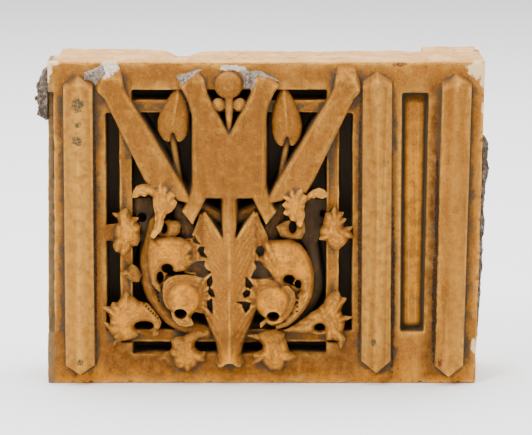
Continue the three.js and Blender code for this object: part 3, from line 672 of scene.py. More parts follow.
# The acanthus scrolls. Outlines, routes and centres are distances from the axis and heights over the bed.
# The frond's heights are its rim and the rise over it, and the stalk's sizes its half width, front and draft.
# The eyes of a leaf have a centre and two half sizes, and a row of dots a start, an end and a count.
# The fruit and the eye of the cup are centres. The right is not quite a mirror image of the left.
LEFT_SCROLL = {
    "frond_heights": (-17, 0.3),
    "frond_eyes": [(82.5, 156.5, 4, 4.5)],
    "stalk_sizes": (4.6, 1.5, 0.25),
    "collar_eyes": [(61.5, 149, 3, 5)],
    "fruit": (43, 82.5),
    "cup_eye": (46, 68.5),
    "main_eyes": [(58.5, 111, 5, 4.5), (65, 102, 3, 6)],
    "corner_eyes": [(80.5, 56, 9, 4.5)],
    "dots": [((80.5, 77.5), (67.5, 63.5), 7), ((68.5, 90), (66.5, 79), 4)],
    "back_frond": [
        (89.5, 174), (74.5, 175.5), (69.5, 167), (68, 152), (71.5, 135), (76.5, 117.5), (78, 92),
        (84, 114), (84, 125.5), (83, 132), (84, 142.5), (85.5, 155.5), (90.5, 163.5),
    ],
    "inner_bed": [(40.5, 137.5), (22, 139.5), (15.5, 102.5), (27.5, 97), (42.5, 105.5)],
    "cup_bed": [
        (74.5, 94.5), (60.5, 102), (23, 102), (17, 79), (22, 66), (35, 69), (38, 58.5), (46, 51.5),
        (57.5, 58.5), (69, 73.5),
    ],
    "web": [
        (27.5, 163), (31, 151.5), (35, 142), (37, 132.5), (37, 117.5), (40.5, 107), (21, 103),
        (21, 69.5), (15.5, 66), (12.5, 81), (12.5, 138), (20, 155.5),
    ],
    "stalk": [
        (22, 48.5), (40.5, 53), (54.5, 60), (65, 70.5), (72.5, 83.5), (77, 100), (78, 117),
        (74.5, 133), (69.5, 152),
    ],
    "strap_tongue": [
        (50, 170.5), (35, 167.5), (38.5, 158), (33, 150.5), (29.5, 143), (33, 137), (27.5, 131.5),
        (37, 129.5), (45.5, 135.5), (48, 146.5), (52, 158),
    ],
    "edge_spur": [
        (104.5, 152.5), (114, 151.5), (117.5, 149), (122, 147), (119.5, 143), (118, 137.5), (112, 137),
        (105.5, 135.5),
    ],
    "knuckle": [
        (103, 106), (96, 109.5), (91.5, 114), (86.5, 111), (82.5, 104), (85.5, 98), (90.5, 98),
        (94, 100.5), (98, 103.5),
    ],
    "foot_spur": [(53.5, 32), (59.5, 30), (65, 26.5), (69, 23), (62, 21.5), (57.5, 18), (52, 17)],
    "collar": [
        (62, 155), (57.5, 156.5), (48, 155.5), (46, 151.5), (47, 145), (50.5, 141.5), (57.5, 140),
        (65, 140.5), (67, 147),
    ],
    "upper_leaf": [
        (64, 194.5), (62, 190.5), (58.5, 188), (57.5, 185), (53.5, 184.5), (50.5, 181.5), (52.5, 179),
        (49, 175), (51, 170.5), (54.5, 166.5), (59, 164), (61.5, 159), (62, 154.5), (64, 148.5),
        (67, 145), (70.5, 141), (73.5, 143), (70.5, 149.5), (69, 156), (69, 164), (70.5, 171.5),
        (71, 178), (69.5, 184), (67, 188.5),
    ],
    "upper_curl": [
        (67, 185.5), (71.5, 189.5), (76.5, 191.5), (82, 191.5), (86.5, 189.5), (89.5, 185),
        (90.5, 179), (86.5, 179.5), (83, 181.5), (79, 180.5), (75.5, 183), (71, 180),
    ],
    "edge_leaf": [
        (109.5, 163.5), (104, 163), (101.5, 166), (96.5, 168), (94, 163.5), (91.5, 159.5), (85, 159),
        (87.5, 155), (83.5, 151), (84.5, 146), (84, 138), (86.5, 133), (91.5, 132.5), (94, 128.5),
        (96, 125.5), (99.5, 123), (103.5, 126), (107.5, 128), (109, 133), (107, 139), (107.5, 144.5),
        (106.5, 150), (103.5, 155), (105, 159),
    ],
    "cup": [
        (62, 81.5), (62.5, 91), (61.5, 97.5), (57.5, 101.5), (50, 104.5), (40.5, 105), (32, 104),
        (24.5, 101.5), (16.5, 107), (20.5, 99.5), (20.5, 95), (15.5, 93.5), (19.5, 90), (19.5, 85.5),
        (14, 83), (20.5, 80), (21, 74.5), (16, 64.5), (23.5, 69.5), (28.5, 71.5), (34, 69), (37, 65),
        (34, 57.5), (40.5, 55.5), (48, 57.5), (53, 63), (55, 71), (59.5, 75.5),
    ],
    "main_leaf": [
        (74.5, 138), (70.5, 139), (67, 140.5), (55.5, 141), (46, 140), (40.5, 137.5), (32, 132.5),
        (21, 133.5), (30.5, 130), (36.5, 126.5), (35, 121), (27.5, 118.5), (17, 118.5), (26.5, 116),
        (33, 115.5), (38.5, 113), (42.5, 109), (50, 108), (53.5, 109.5), (59.5, 104.5), (61.5, 99),
        (64, 93), (65.5, 89), (69, 91), (72.5, 96), (75, 104.5), (76.5, 117), (77, 128.5),
    ],
    "corner_leaf": [
        (97, 89), (94, 84.5), (90.5, 83), (84.5, 78.5), (77, 77), (71.5, 70.5), (67, 64.5), (64.5, 59),
        (67, 52), (67.5, 47.5), (71.5, 46.5), (73, 50.5), (79, 51.5), (85.5, 49.5), (87.5, 46),
        (92, 44), (97, 42.5), (102.5, 41.5), (106, 40), (110, 35.5), (107.5, 42.5), (110, 46.5),
        (113.5, 51.5), (118, 59.5), (112, 57), (112, 63.5), (113.5, 67.5), (119, 73.5), (112, 74),
        (110, 78), (105.5, 77.5), (101.5, 83),
    ],
    "foot_leaf": [
        (54.5, 42), (51, 44.5), (43.5, 45.5), (37, 49), (29.5, 51.5), (21, 47.5), (28.5, 44.5),
        (32.5, 41), (33.5, 36.5), (31, 32.5), (27.5, 30.5), (23, 30.5), (23.5, 26.5), (24, 22.5),
        (29.5, 21.5), (32, 18), (36, 15), (39.5, 12), (43.5, 15), (49, 16), (52, 20), (53.5, 25.5),
        (56.5, 30.5), (54, 35),
    ],
    "gaps": [
        [(36, 141.5), (32.5, 142), (30.5, 137), (27.5, 134.5), (33, 136)],
        [(29.5, 128.5), (27.5, 131.5), (23.5, 131.5), (24.5, 127), (21, 121), (26.5, 123)],
        [
            (40, 108.5), (37, 113.5), (30.5, 117.5), (23, 118), (24.5, 113.5), (21, 109.5),
            (17, 107.5), (22, 103.5), (27.5, 103), (32, 107), (37, 107.5),
        ],
        [(17, 104), (21, 100), (20.5, 94.5), (18, 93.5), (16, 98)],
        [(19, 92.5), (20, 88), (17, 84), (13.5, 84), (16, 90.5)],
        [(17, 82.5), (21, 78.5), (20, 72.5), (16, 68), (16, 75.5)],
    ],
}

RIGHT_SCROLL = {
    "frond_heights": (-19, 0.22),
    "frond_eyes": [(88, 160, 2.5, 3.5)],
    "stalk_sizes": (6.0, -16, 0.3),
    "collar_eyes": [(59.5, 150, 3.5, 6)],
    "fruit": (40.5, 79.5),
    "cup_eye": (41, 66),
    "main_eyes": [(56, 100.5, 5, 4.5), (64.5, 95.5, 3, 4.5)],
    "corner_eyes": [(85, 54, 5, 4.5)],
    "dots": [((65, 87), (63.5, 70.5), 5), ((82.5, 78.5), (78, 70.5), 4)],
    "back_frond": [
        (69, 165), (78.5, 173.5), (91.5, 173.5), (90, 159), (87, 148.5), (85, 137.5), (79.5, 129.5),
        (74, 125), (68, 134.5),
    ],
    "inner_bed": [(19.5, 139.5), (36.5, 136), (44, 101.5), (19.5, 97), (16.5, 115)],
    "cup_bed": [
        (16.5, 100), (47.5, 98.5), (68, 89), (69, 73.5), (57, 59.5), (44.5, 52.5), (35.5, 57.5),
        (32.5, 66), (24, 71.5), (17.5, 67),
    ],
    "web": [
        (26, 164), (30.5, 152.5), (35.5, 142), (36.5, 134.5), (33.5, 121), (33.5, 111.5), (41, 101),
        (23, 99), (21.5, 81), (19.5, 70.5), (14, 65), (11, 81), (11, 138), (18.5, 155.5),
    ],
    "stalk": [
        (76.5, 173), (76.5, 139.5), (79.5, 114), (82.5, 92), (76.5, 74), (64.5, 59), (51.5, 51),
        (17.5, 48.5),
    ],
    "strap_tongue": [
        (49.5, 170.5), (34.5, 167.5), (38, 158), (32.5, 150.5), (29, 143), (32.5, 137), (27, 131.5),
        (36.5, 129.5), (44.5, 135.5), (47.5, 146.5), (51.5, 158),
    ],
    "foot_spur": [(53, 32), (59, 30), (63.5, 26.5), (61.5, 21.5), (55, 18), (51.5, 17)],
    "collar": [
        (44.5, 150), (50.5, 154), (56.5, 156), (62.5, 155), (66.5, 150.5), (70, 154.5), (71, 146),
        (67.5, 139), (57, 139), (48.5, 141.5),
    ],
    "upper_leaf": [
        (58, 186), (61.5, 184), (67.5, 187.5), (69, 183), (72.5, 180.5), (70.5, 174.5), (69.5, 168.5),
        (70.5, 163), (68.5, 156), (66.5, 151.5), (62.5, 157), (58, 158.5), (56, 162), (51, 164.5),
        (53, 169), (50, 172.5), (54, 176.5), (50.5, 180.5), (57, 180),
    ],
    "upper_curl": [
        (70.5, 179), (75, 183.5), (78.5, 186), (84, 188), (89, 186), (92.5, 181), (87, 178.5),
        (81.5, 179.5), (76.5, 178.5), (73, 176), (70, 173.5),
    ],
    "edge_leaf": [
        (98.5, 169.5), (101, 164.5), (107, 164), (105, 159), (109.5, 158), (106.5, 153.5), (107, 150),
        (115.5, 150.5), (113, 146.5), (116, 141), (111.5, 139.5), (108.5, 134.5), (105, 131.5),
        (102, 129), (97.5, 130), (93.5, 134), (90.5, 138), (84.5, 138.5), (86, 142.5), (85.5, 147.5),
        (88, 152), (89.5, 159), (90.5, 163.5), (95.5, 164),
    ],
    "cup": [
        (15, 103.5), (21, 100.5), (27, 100.5), (34.5, 101.5), (41, 99.5), (48.5, 94.5), (55, 94.5),
        (60.5, 89), (62.5, 81.5), (59.5, 72), (54, 64), (47.5, 59.5), (41, 58), (34.5, 59.5),
        (29.5, 54.5), (29, 58.5), (34.5, 63), (30.5, 67), (26, 72), (20, 70), (15.5, 65.5), (18, 72),
        (20.5, 78), (13.5, 79), (7, 80.5), (19, 82), (19.5, 88.5), (21.5, 93.5), (18.5, 96.5),
    ],
    "main_leaf": [
        (30.5, 135), (25.5, 135), (33.5, 137), (38, 137), (47.5, 137.5), (57, 138), (66.5, 133.5),
        (72, 127), (76.5, 117.5), (79, 107.5), (79, 95), (77, 83.5), (71.5, 73), (64, 63.5), (55, 56),
        (44, 52.5), (44, 56), (51.5, 61), (58, 68.5), (62.5, 78), (64.5, 86.5), (69, 89.5),
        (65.5, 91.5), (59.5, 96.5), (51.5, 95), (48.5, 94.5), (42, 99.5), (40, 102.5), (36.5, 107.5),
        (33, 112), (30.5, 117), (23.5, 119.5), (30.5, 121.5), (33, 128.5),
    ],
    "corner_leaf": [
        (91.5, 83), (97.5, 88.5), (102, 89), (105.5, 83), (110, 82), (106.5, 76), (104.5, 71.5),
        (106, 65.5), (115.5, 64), (108.5, 60.5), (107.5, 54), (106.5, 49.5), (109.5, 43.5),
        (105, 33.5), (102, 42), (97.5, 42.5), (92, 42.5), (90.5, 48), (81.5, 48.5), (75.5, 49.5),
        (66.5, 50), (51.5, 51), (61.5, 56.5), (71, 63), (77.5, 68.5), (83, 71.5), (89, 77),
    ],
    "foot_leaf": [
        (33.5, 51), (44, 52), (51.5, 48.5), (52, 44.5), (54, 38), (56, 31.5), (62.5, 26), (57, 22),
        (52.5, 22), (50.5, 17.5), (47.5, 13.5), (39, 14), (34.5, 18), (30.5, 22.5), (22, 19.5),
        (23.5, 24), (22, 28), (27, 30.5), (31.5, 33), (32, 37.5), (27.5, 42), (23, 44), (17, 46.5),
        (27, 47),
    ],
    "gaps": [
        [(25, 127), (27, 131.5), (30.5, 132.5), (33, 128.5), (31.5, 123), (28, 122)],
        [
            (24, 118), (29, 117.5), (32.5, 112.5), (36.5, 109.5), (40, 103), (34.5, 102), (27, 101),
            (20.5, 101.5), (23, 107.5), (26, 111.5),
        ],
        [(15.5, 103), (19.5, 99), (22, 94.5), (19.5, 91.5), (15.5, 93.5)],
        [(12.5, 87.5), (15.5, 90.5), (19.5, 89), (18.5, 85), (14.5, 83)],
        [(7, 80), (14.5, 79.5), (19.5, 78), (18.5, 72.5), (15.5, 69), (13, 73.5), (12, 77.5)],
    ],
}


def scroll_bed(field, side, parts):
    """Behind the leaves: a frond, the beds between the thorns, the stalk, and a tongue under the strap."""
    rim, rise = parts["frond_heights"]
    leaf(field, side, parts["back_frond"], parts["frond_eyes"], rim, rise)
    leaf(field, side, parts["inner_bed"], rim=-5.5, rise=0.1)
    leaf(field, side, parts["cup_bed"], rim=-5.5, rise=0.08)
    leaf(field, side, parts["web"], rim=2, rise=0.06, fold=0)
    stem(field, side, parts["stalk"], *parts["stalk_sizes"])
    leaf(field, side, parts["strap_tongue"], rim=-14, rise=0.4)


def scroll_spurs(field, side, parts):
    """The spurs and the collar between the leaves, with one more spur and a knuckle on the left."""
    if side == LEFT:
        leaf(field, side, parts["edge_spur"], rim=-3, rise=0.5)
        leaf(field, side, parts["knuckle"], rim=-1, rise=0.8)
    leaf(field, side, parts["foot_spur"], rim=0, rise=0.4)
    leaf(field, side, parts["collar"], parts["collar_eyes"], rim=-1, rise=0.8)


def scroll_leaves(field, side, parts):
    """The leaf that climbs to the strap, its curl, the cup with its fruit, and the leaves round it."""
    leaf(field, side, parts["upper_leaf"], rim=8.5, rise=0.6)
    leaf(field, side, parts["upper_curl"], rim=6, rise=1.0)
    leaf(field, side, parts["edge_leaf"])
    leaf(field, side, parts["cup"], rim=4, rise=0.14)
    boss(field, side, parts["fruit"], r=16, base=3, flat=0.72)
    drill(field, side, parts["cup_eye"], ru=6, rv=5.5)
    leaf(field, side, parts["main_leaf"], parts["main_eyes"])
    leaf(field, side, parts["corner_leaf"], parts["corner_eyes"])
    leaf(field, side, parts["foot_leaf"])


def scrolls(field):
    """The acanthus on both sides, from the back to the front, with its dots and pierced gaps."""
    for side, parts in ((LEFT, LEFT_SCROLL), (RIGHT, RIGHT_SCROLL)):
        scroll_bed(field, side, parts)
        scroll_spurs(field, side, parts)
        scroll_leaves(field, side, parts)
        for row in parts["dots"]:
            dots(field, side, *row)
        for gap in parts["gaps"]:
            pierce(field, side, gap)


# Losses, and the whole of the face and back
def chips(field):
    """Small losses along the arrises of the face, and the broken corners."""
    for _ in range(CHIPS):
        edge = RNG.integers(0, 4)
        t = RNG.uniform(0, 1)
        r = RNG.uniform(0.8, 2.6)
        if edge < 2:
            cu, cv = -WIDTH / 2 + WIDTH * t, (0.0, HEIGHT)[edge]
        else:
            cu, cv = (-WIDTH / 2, WIDTH / 2)[edge - 2], HEIGHT * t
        cu = cu + lean(np.array(cu)) * (cv - MID)
        sphere_cut(field, cu, cv, RNG.uniform(-0.5, 1.2), r)
    for loss in BREAKS:
        sphere_cut(field, *loss)


def sphere_cut(field, cu, cv, cw, r):
    """A rounded chip."""
    win = field.window(cu - r, cu + r, cv - r, cv + r, cw - r, cw + r, margin=2)
    x = field.axes[0][win[0]][:, None, None]
    z = field.axes[1][win[1]][None, :, None]
    w = field.axes[2][win[2]][None, None, :]
    field.cut(win, np.sqrt((x - cu) ** 2 + (z - cv) ** 2 + (w - cw) ** 2) - r, 0.6)


def carve_face():
    """The facing slab with all its carving."""
    field = Field((*REACH_LOW, -SLAB - 3), (*REACH_HIGH, FOREMOST), STEP)
    slab(field)
    openings(field)
    flute(field)
    rebate(field)
    for sizes in BARS:
        bar(field, *sizes)
    swag(field)
    for side in (LEFT, RIGHT):
        strap(field, side)
    for sizes in BUDS:
        bud(field, *sizes)
    shield(field)
    spearhead(field)
    fruit(field)
    scrolls(field)
    chips(field)
    return field


def carve_back():
    """Webs round the hollow back, with the ragged rear edge of the top web and its longer corner."""
    field = Field((*REACH_LOW, EAR[3] - 4), (*REACH_HIGH, 10 - SLAB), BACK_STEP)
    u, v, w = field.plane(field.whole)
    left, right, high = -WIDTH / 2 + WEB_SET_IN, WIDTH / 2, HEIGHT - WEB
    step_back, overlap, splay = 0.3, 4, 14
    ragged = 9 * rough(u, v, 31)
    broken = np.interp(u, *zip(*REAR_EDGE)) + BED + ragged
    rear = 0.25 * ragged - BED + smoothstep(v, high - splay, high) * broken
    outside = rectangle(u, v, left, right, 0, HEIGHT, 1.5) + rough(u, v, 1) + step_back
    body = smax(deep(outside), deep(rear) - w, 2.0)
    ear = rectangle(u, v, EAR[0], EAR[1], EAR[2], HEIGHT + 4, 8) + rough(u, v, 35)
    ear = np.maximum(ear, v - HEIGHT + step_back + rough(u, v, 1))
    body = smin(body, smax(deep(ear), deep(EAR[3] + ragged) - w, 6.0), 1.0)
    hollow = deep(rectangle(u, v, left + WEB, right - WEB, WEB, high, 10) + 2 * rough(u, v, 41))
    clear = 9
    ear_hollow = deep(rectangle(u, v, EAR[0] - clear, EAR[1] - WEB, EAR[2] - clear, high, 6))
    scoop_half, scoop_flare, scoop_run = 5, 13, 44
    flare = scoop_half + scoop_flare * np.clip((-SLAB - w) / scoop_run, 0, 1) ** 1.6
    scoop = smax(deep(np.abs(u - SCOOP + 2 * rough(u, v, 43))) - flare, deep(high - clear - v), 3.0)
    for hole, front in ((hollow, -SLAB - 1), (ear_hollow, -BED), (scoop, -SLAB - 2)):
        body = smax(body, -smax(hole, w - front, 3.0), 2.0)
    field.d[:] = np.maximum(np.maximum(body, w - (overlap - SLAB)), deep(-v))
    return field


def lump_on_end(side, low, high, front, back, proud, swell):
    """Bedding mortar on an end of the block: thickness by height, faded out at every edge."""
    room, edge_fade, lumpy = 4, 6, 0.4
    reach = side * (WIDTH / 2 + proud + room)
    base = side * (WIDTH / 2 - 6)
    first = (min(reach, base), low - room, back - room)
    field = Field(first, (max(reach, base), high + room, front + room), STEP)
    u, v, w = field.plane(field.whole)
    out = deep(side * u - WIDTH / 2)
    thick = deep(proud * np.interp(v, *zip(*swell)))
    fade = np.clip(np.minimum(front - w, w - back) / edge_fade, 0, 1) ** 0.5
    grain = lattice_noise(deep(u), deep(v), w, 9, 51) + 0.5 * lattice_noise(deep(u), deep(v), w, 3, 52)
    edge = np.maximum(np.maximum(w - front, back - w), np.maximum(deep(low - v), deep(v - high))) + grain
    skin = 0.7 * (out - thick * fade * (1 + lumpy * grain))
    field.d[:] = np.maximum(smax(skin, edge, 1.5), 0.2 - out)
    return field


def relief_height(field):
    """Height of the foremost surface over the plane of the face."""
    last = field.d.shape[2] - 1 - np.argmax(field.d[:, :, ::-1] < 0, axis=2)
    return (field.axes[2][0] + field.step * last).astype(np.float32)


def patch_on_face(face, corners, thick):
    """A dab of mortar smeared over the relief."""
    box = around(corners, 4)
    field = Field((box[0], box[2], -9), (box[1], box[3], 20), STEP)
    u, v, w = field.plane(field.whole)
    places = np.stack([u.ravel(), v.ravel()], 1)
    ground = blur(sample(relief_height(face), face, places).reshape(u.shape), 1, (0, 1))
    grain = flat_noise(u, v, 6, 61) + 0.6 * flat_noise(u, v, 2.5, 62)
    d = polygon(u, v, corners) + 0.7 * grain
    top = ground + thick * (0.7 + 0.5 * grain) * smoothstep(-d, -0.5, 3)
    field.d[:] = np.maximum(smax(deep(d), 0.7 * (w - deep(top)), 1.0), deep(ground - 1.5) - w)
    return field


# Meshes
def surface(field):
    """Vertices and four-sided faces of the zero surface, one vertex in each cell that it crosses."""
    inside = field.d < 0
    shape = [n - 1 for n in inside.shape]
    count = np.zeros(shape, np.uint8)
    for i, j, k in CORNERS:
        count += inside[i : i + shape[0], j : j + shape[1], k : k + shape[2]]
    cells = np.argwhere((count > 0) & (count < len(CORNERS)))
    ids = np.full(shape, -1, np.int32)
    ids[tuple(cells.T)] = np.arange(len(cells), dtype=np.int32)
    faces = [crossing_faces(inside, ids, axis) for axis in range(3)]
    return crossing_points(field, cells), np.concatenate(faces)


def crossing_points(field, cells):
    """The mean of the places where the surface crosses the edges of each cell."""
    corner = np.stack([field.d[tuple((cells + o).T)] for o in CORNERS], 1)
    total = np.zeros((len(cells), 3), np.float32)
    hits = np.zeros(len(cells), np.float32)
    for (a, start), (b, end) in itertools.combinations(enumerate(CORNERS), 2):
        step = np.subtract(end, start)
        if np.abs(step).sum() != 1:
            continue
        va, vb = corner[:, a], corner[:, b]
        cross = (va < 0) != (vb < 0)
        t = np.where(cross, va / np.where(cross, va - vb, 1), 0)
        total += np.where(cross[:, None], np.array(start) + t[:, None] * step, 0)
        hits += cross
    return field.lo + field.step * (cells + total / hits[:, None])


def crossing_faces(inside, ids, axis):
    """A face across each edge along one axis that the surface crosses."""
    p, q = (axis + 1) % 3, (axis + 2) % 3
    lo, hi = [slice(1, -1)] * 3, [slice(1, -1)] * 3
    lo[axis], hi[axis] = slice(0, -1), slice(1, None)
    first, second = inside[tuple(lo)], inside[tuple(hi)]
    at = np.argwhere(first != second)
    outward = first[tuple(at.T)]
    at = at + 1
    at[:, axis] -= 1
    ring = []
    for dp, dq in ((1, 1), (0, 1), (0, 0), (1, 0)):
        c = at.copy()
        c[:, p] -= dp
        c[:, q] -= dq
        ring.append(ids[tuple(c.T)])
    ring = np.stack(ring, 1)
    ring[~outward] = ring[~outward][:, ::-1]
    return ring


def to_frame(verts):
    """Relief millimetres to the part's frame in metres."""
    return np.stack([verts[:, 0], -verts[:, 2] - BED / 2, verts[:, 1]], 1) / 1000


def place(name, data):
    """A new object in the scene."""
    obj = bpy.data.objects.new(name, data)
    bpy.context.scene.collection.objects.link(obj)
    return obj


def make_mesh(name, verts, quads):
    """A mesh object in the part's frame."""
    mesh = bpy.data.meshes.new(name)
    mesh.vertices.add(len(verts))
    mesh.vertices.foreach_set("co", to_frame(verts).astype(np.float32).ravel())
    mesh.loops.add(quads.size)
    mesh.loops.foreach_set("vertex_index", quads.astype(np.int32).ravel())
    mesh.polygons.add(len(quads))
    mesh.polygons.foreach_set("loop_start", np.arange(0, quads.size, 4, dtype=np.int32))
    mesh.update(calc_edges=True)
    mesh.validate()
    return place(name, mesh)


def thin_out(obj, triangles):
    """Fewer triangles where the surface is flat."""
    have = 2 * len(obj.data.polygons)
    if have <= triangles:
        return
    mod = obj.modifiers.new("thin", "DECIMATE")
    mod.ratio = triangles / have
    deps = bpy.context.evaluated_depsgraph_get()
    mesh = bpy.data.meshes.new_from_object(obj.evaluated_get(deps))
    obj.modifiers.remove(mod)
    old = obj.data
    obj.data = mesh
    bpy.data.meshes.remove(old)


def relief_points(obj):
    """The vertices of a mesh in relief millimetres."""
    co = np.empty(len(obj.data.vertices) * 3, np.float32)
    obj.data.vertices.foreach_get("co", co)
    co = co.reshape(-1, 3) * 1000
    return np.stack([co[:, 0], co[:, 2], -co[:, 1] - BED / 2], 1)


def sample(values, field, points):
    """Values kept on a field's cells, read at the nearest cell."""
    index = []
    for axis in range(values.ndim):
        i = np.rint((points[:, axis] - field.lo[axis]) / field.step).astype(int)
        index.append(np.clip(i, 0, values.shape[axis] - 1))
    return values[tuple(index)]


def attribute(obj, name, values):
    """One value per vertex, kept under that name."""
    layer = obj.data.attributes.new(name, "FLOAT", "POINT")
    layer.data.foreach_set("value", np.ascontiguousarray(values, dtype=np.float32))


def smooth(obj):
    """Smooth shading, with the sharpest edges kept."""
    obj.data.shade_smooth()
    obj.data.set_sharp_from_angle(angle=math.radians(SHARP_ANGLE))


def soft_box(u, v, u0, u1, v0, v1, fade):
    """One inside a rectangle, falling to nothing over the fade."""
    return 1 - smoothstep(rectangle(u, v, u0, u1, v0, v1), -fade / 2, fade / 2)


def brown_stain_and_shade(u, v):
    """Old brown staining on the face, with painted shade in the creases beside the bars and along the flute:
    beside the bars, in the flute and over the strapwork.
    """
    total = np.zeros_like(u)
    for *box, strength in STAINS_AND_SHADE:
        total = np.maximum(total, strength * soft_box(u, v, *box, STAIN_AND_SHADE_FADE))
    return total


def top_bed(v, w):
    """The upper bed, where the clay is bare."""
    return smoothstep(v, HEIGHT - 1.6, HEIGHT - 0.5) * smoothstep(-w, 0.5, 3)


def foliage_area(u, v):
    """The scrolls, without the spearhead between them."""
    panel = soft_box(u, v, AXIS - 118, AXIS + 118, 8, 190, 10)
    return panel * (np.hypot(u - AXIS, (v - 150) * 0.2) > 24)


def lit_clay(u, v, w, foliage):
    """Where the clay is made lighter, partly wear and partly a painted highlight: crowns of the leaves, floor
    of the flute and foot of the face.
    """
    leaves = foliage * smoothstep(w, 5, 13) * (1 - 0.6 * smoothstep(v, 150, 168))
    floor = 0.85 * soft_box(u, v, 131, 149, 60, 264, 8) * smoothstep(-w, 6, 7.5)
    foot = 0.7 * soft_box(u, v, -196, 196, -9, 16, 12) * smoothstep(w, -3, -1)
    return np.maximum(np.maximum(floor, leaves), foot)


def shade_and_soot_depth(u, v, w):
    """How deep a place lies in the pierced panel, in two stages down to the ground, for painted shade and
    soot there.
    """
    panel = (np.abs(u - AXIS) < 120) * (v > 20) * (v < 286)
    return (0.7 * smoothstep(-w, 6, 13) + 0.3 * smoothstep(-w, 16, 30)) * panel


def fullness(field, points, reach):
    """Share of solid clay within that reach of each point."""
    solid = np.clip(0.5 - field.d / field.step, 0, 1)
    return sample(blur(solid, max(1, round(reach / field.step)), (0, 1, 2)), field, points)


def weather_and_shade(obj, field):
    """Where soot and painted shade lie, arrises are rubbed and carry a painted highlight, crowns carry a
    painted highlight and clay is bare, kept on the mesh for the materials.
    """
    points = relief_points(obj)
    u, v, w = points.T
    u = u - lean(u) * (v - MID)
    close, far, shelf_reach = 2.4, 6.4, 9
    near, wide = fullness(field, points, close), fullness(field, points, far)
    plain, slack, gain = 0.5, 0.05, 7  # round a point on a plain face, half is solid
    shelf = sample(blur(relief_height(field), round(shelf_reach / field.step), (0, 1)), field, points)
    recess = np.maximum(np.clip((shelf - w - 6) / 30, 0, 1), shade_and_soot_depth(u, v, w))
    foliage = foliage_area(u, v)
    # painted shade: the flanks of the leaves are darker than their crowns
    shaded = 0.55 * foliage * smoothstep(w, -4, 0) * smoothstep(-w, -10, -2)
    behind = w < 5 - SLAB
    # crease and hollow: soot and painted shade, darker where the clay closes round a point
    attribute(obj, "crease", np.where(behind, 0, np.clip((near - (plain + slack)) * gain, 0, 1)))
    # arris: edges rubbed light, with a painted highlight along them
    attribute(obj, "arris", np.where(behind, 0, np.clip((plain - slack - near) * gain, 0, 1)))
    attribute(obj, "hollow", np.clip((wide - 0.52) * 4, 0, 1))
    # sunk: soot and painted shade, darker the deeper a place lies in the pierced panel
    attribute(obj, "sunk", np.where(behind, 0, soft_box(u, v, -195, 197, 8, 298, 4) * recess))
    # crown: a painted highlight, with some wear, on the leaf tops, the flute floor and the foot of the face
    attribute(obj, "crown", lit_clay(u, v, w, foliage))
    # the brown stains, with the painted shade beside the bars, in the flute and on the leaf flanks
    attribute(obj, "stain_and_shade", np.where(behind, 0, np.maximum(brown_stain_and_shade(u, v), shaded)))
    attribute(obj, "bare", np.where(behind, 1, top_bed(v, w)))


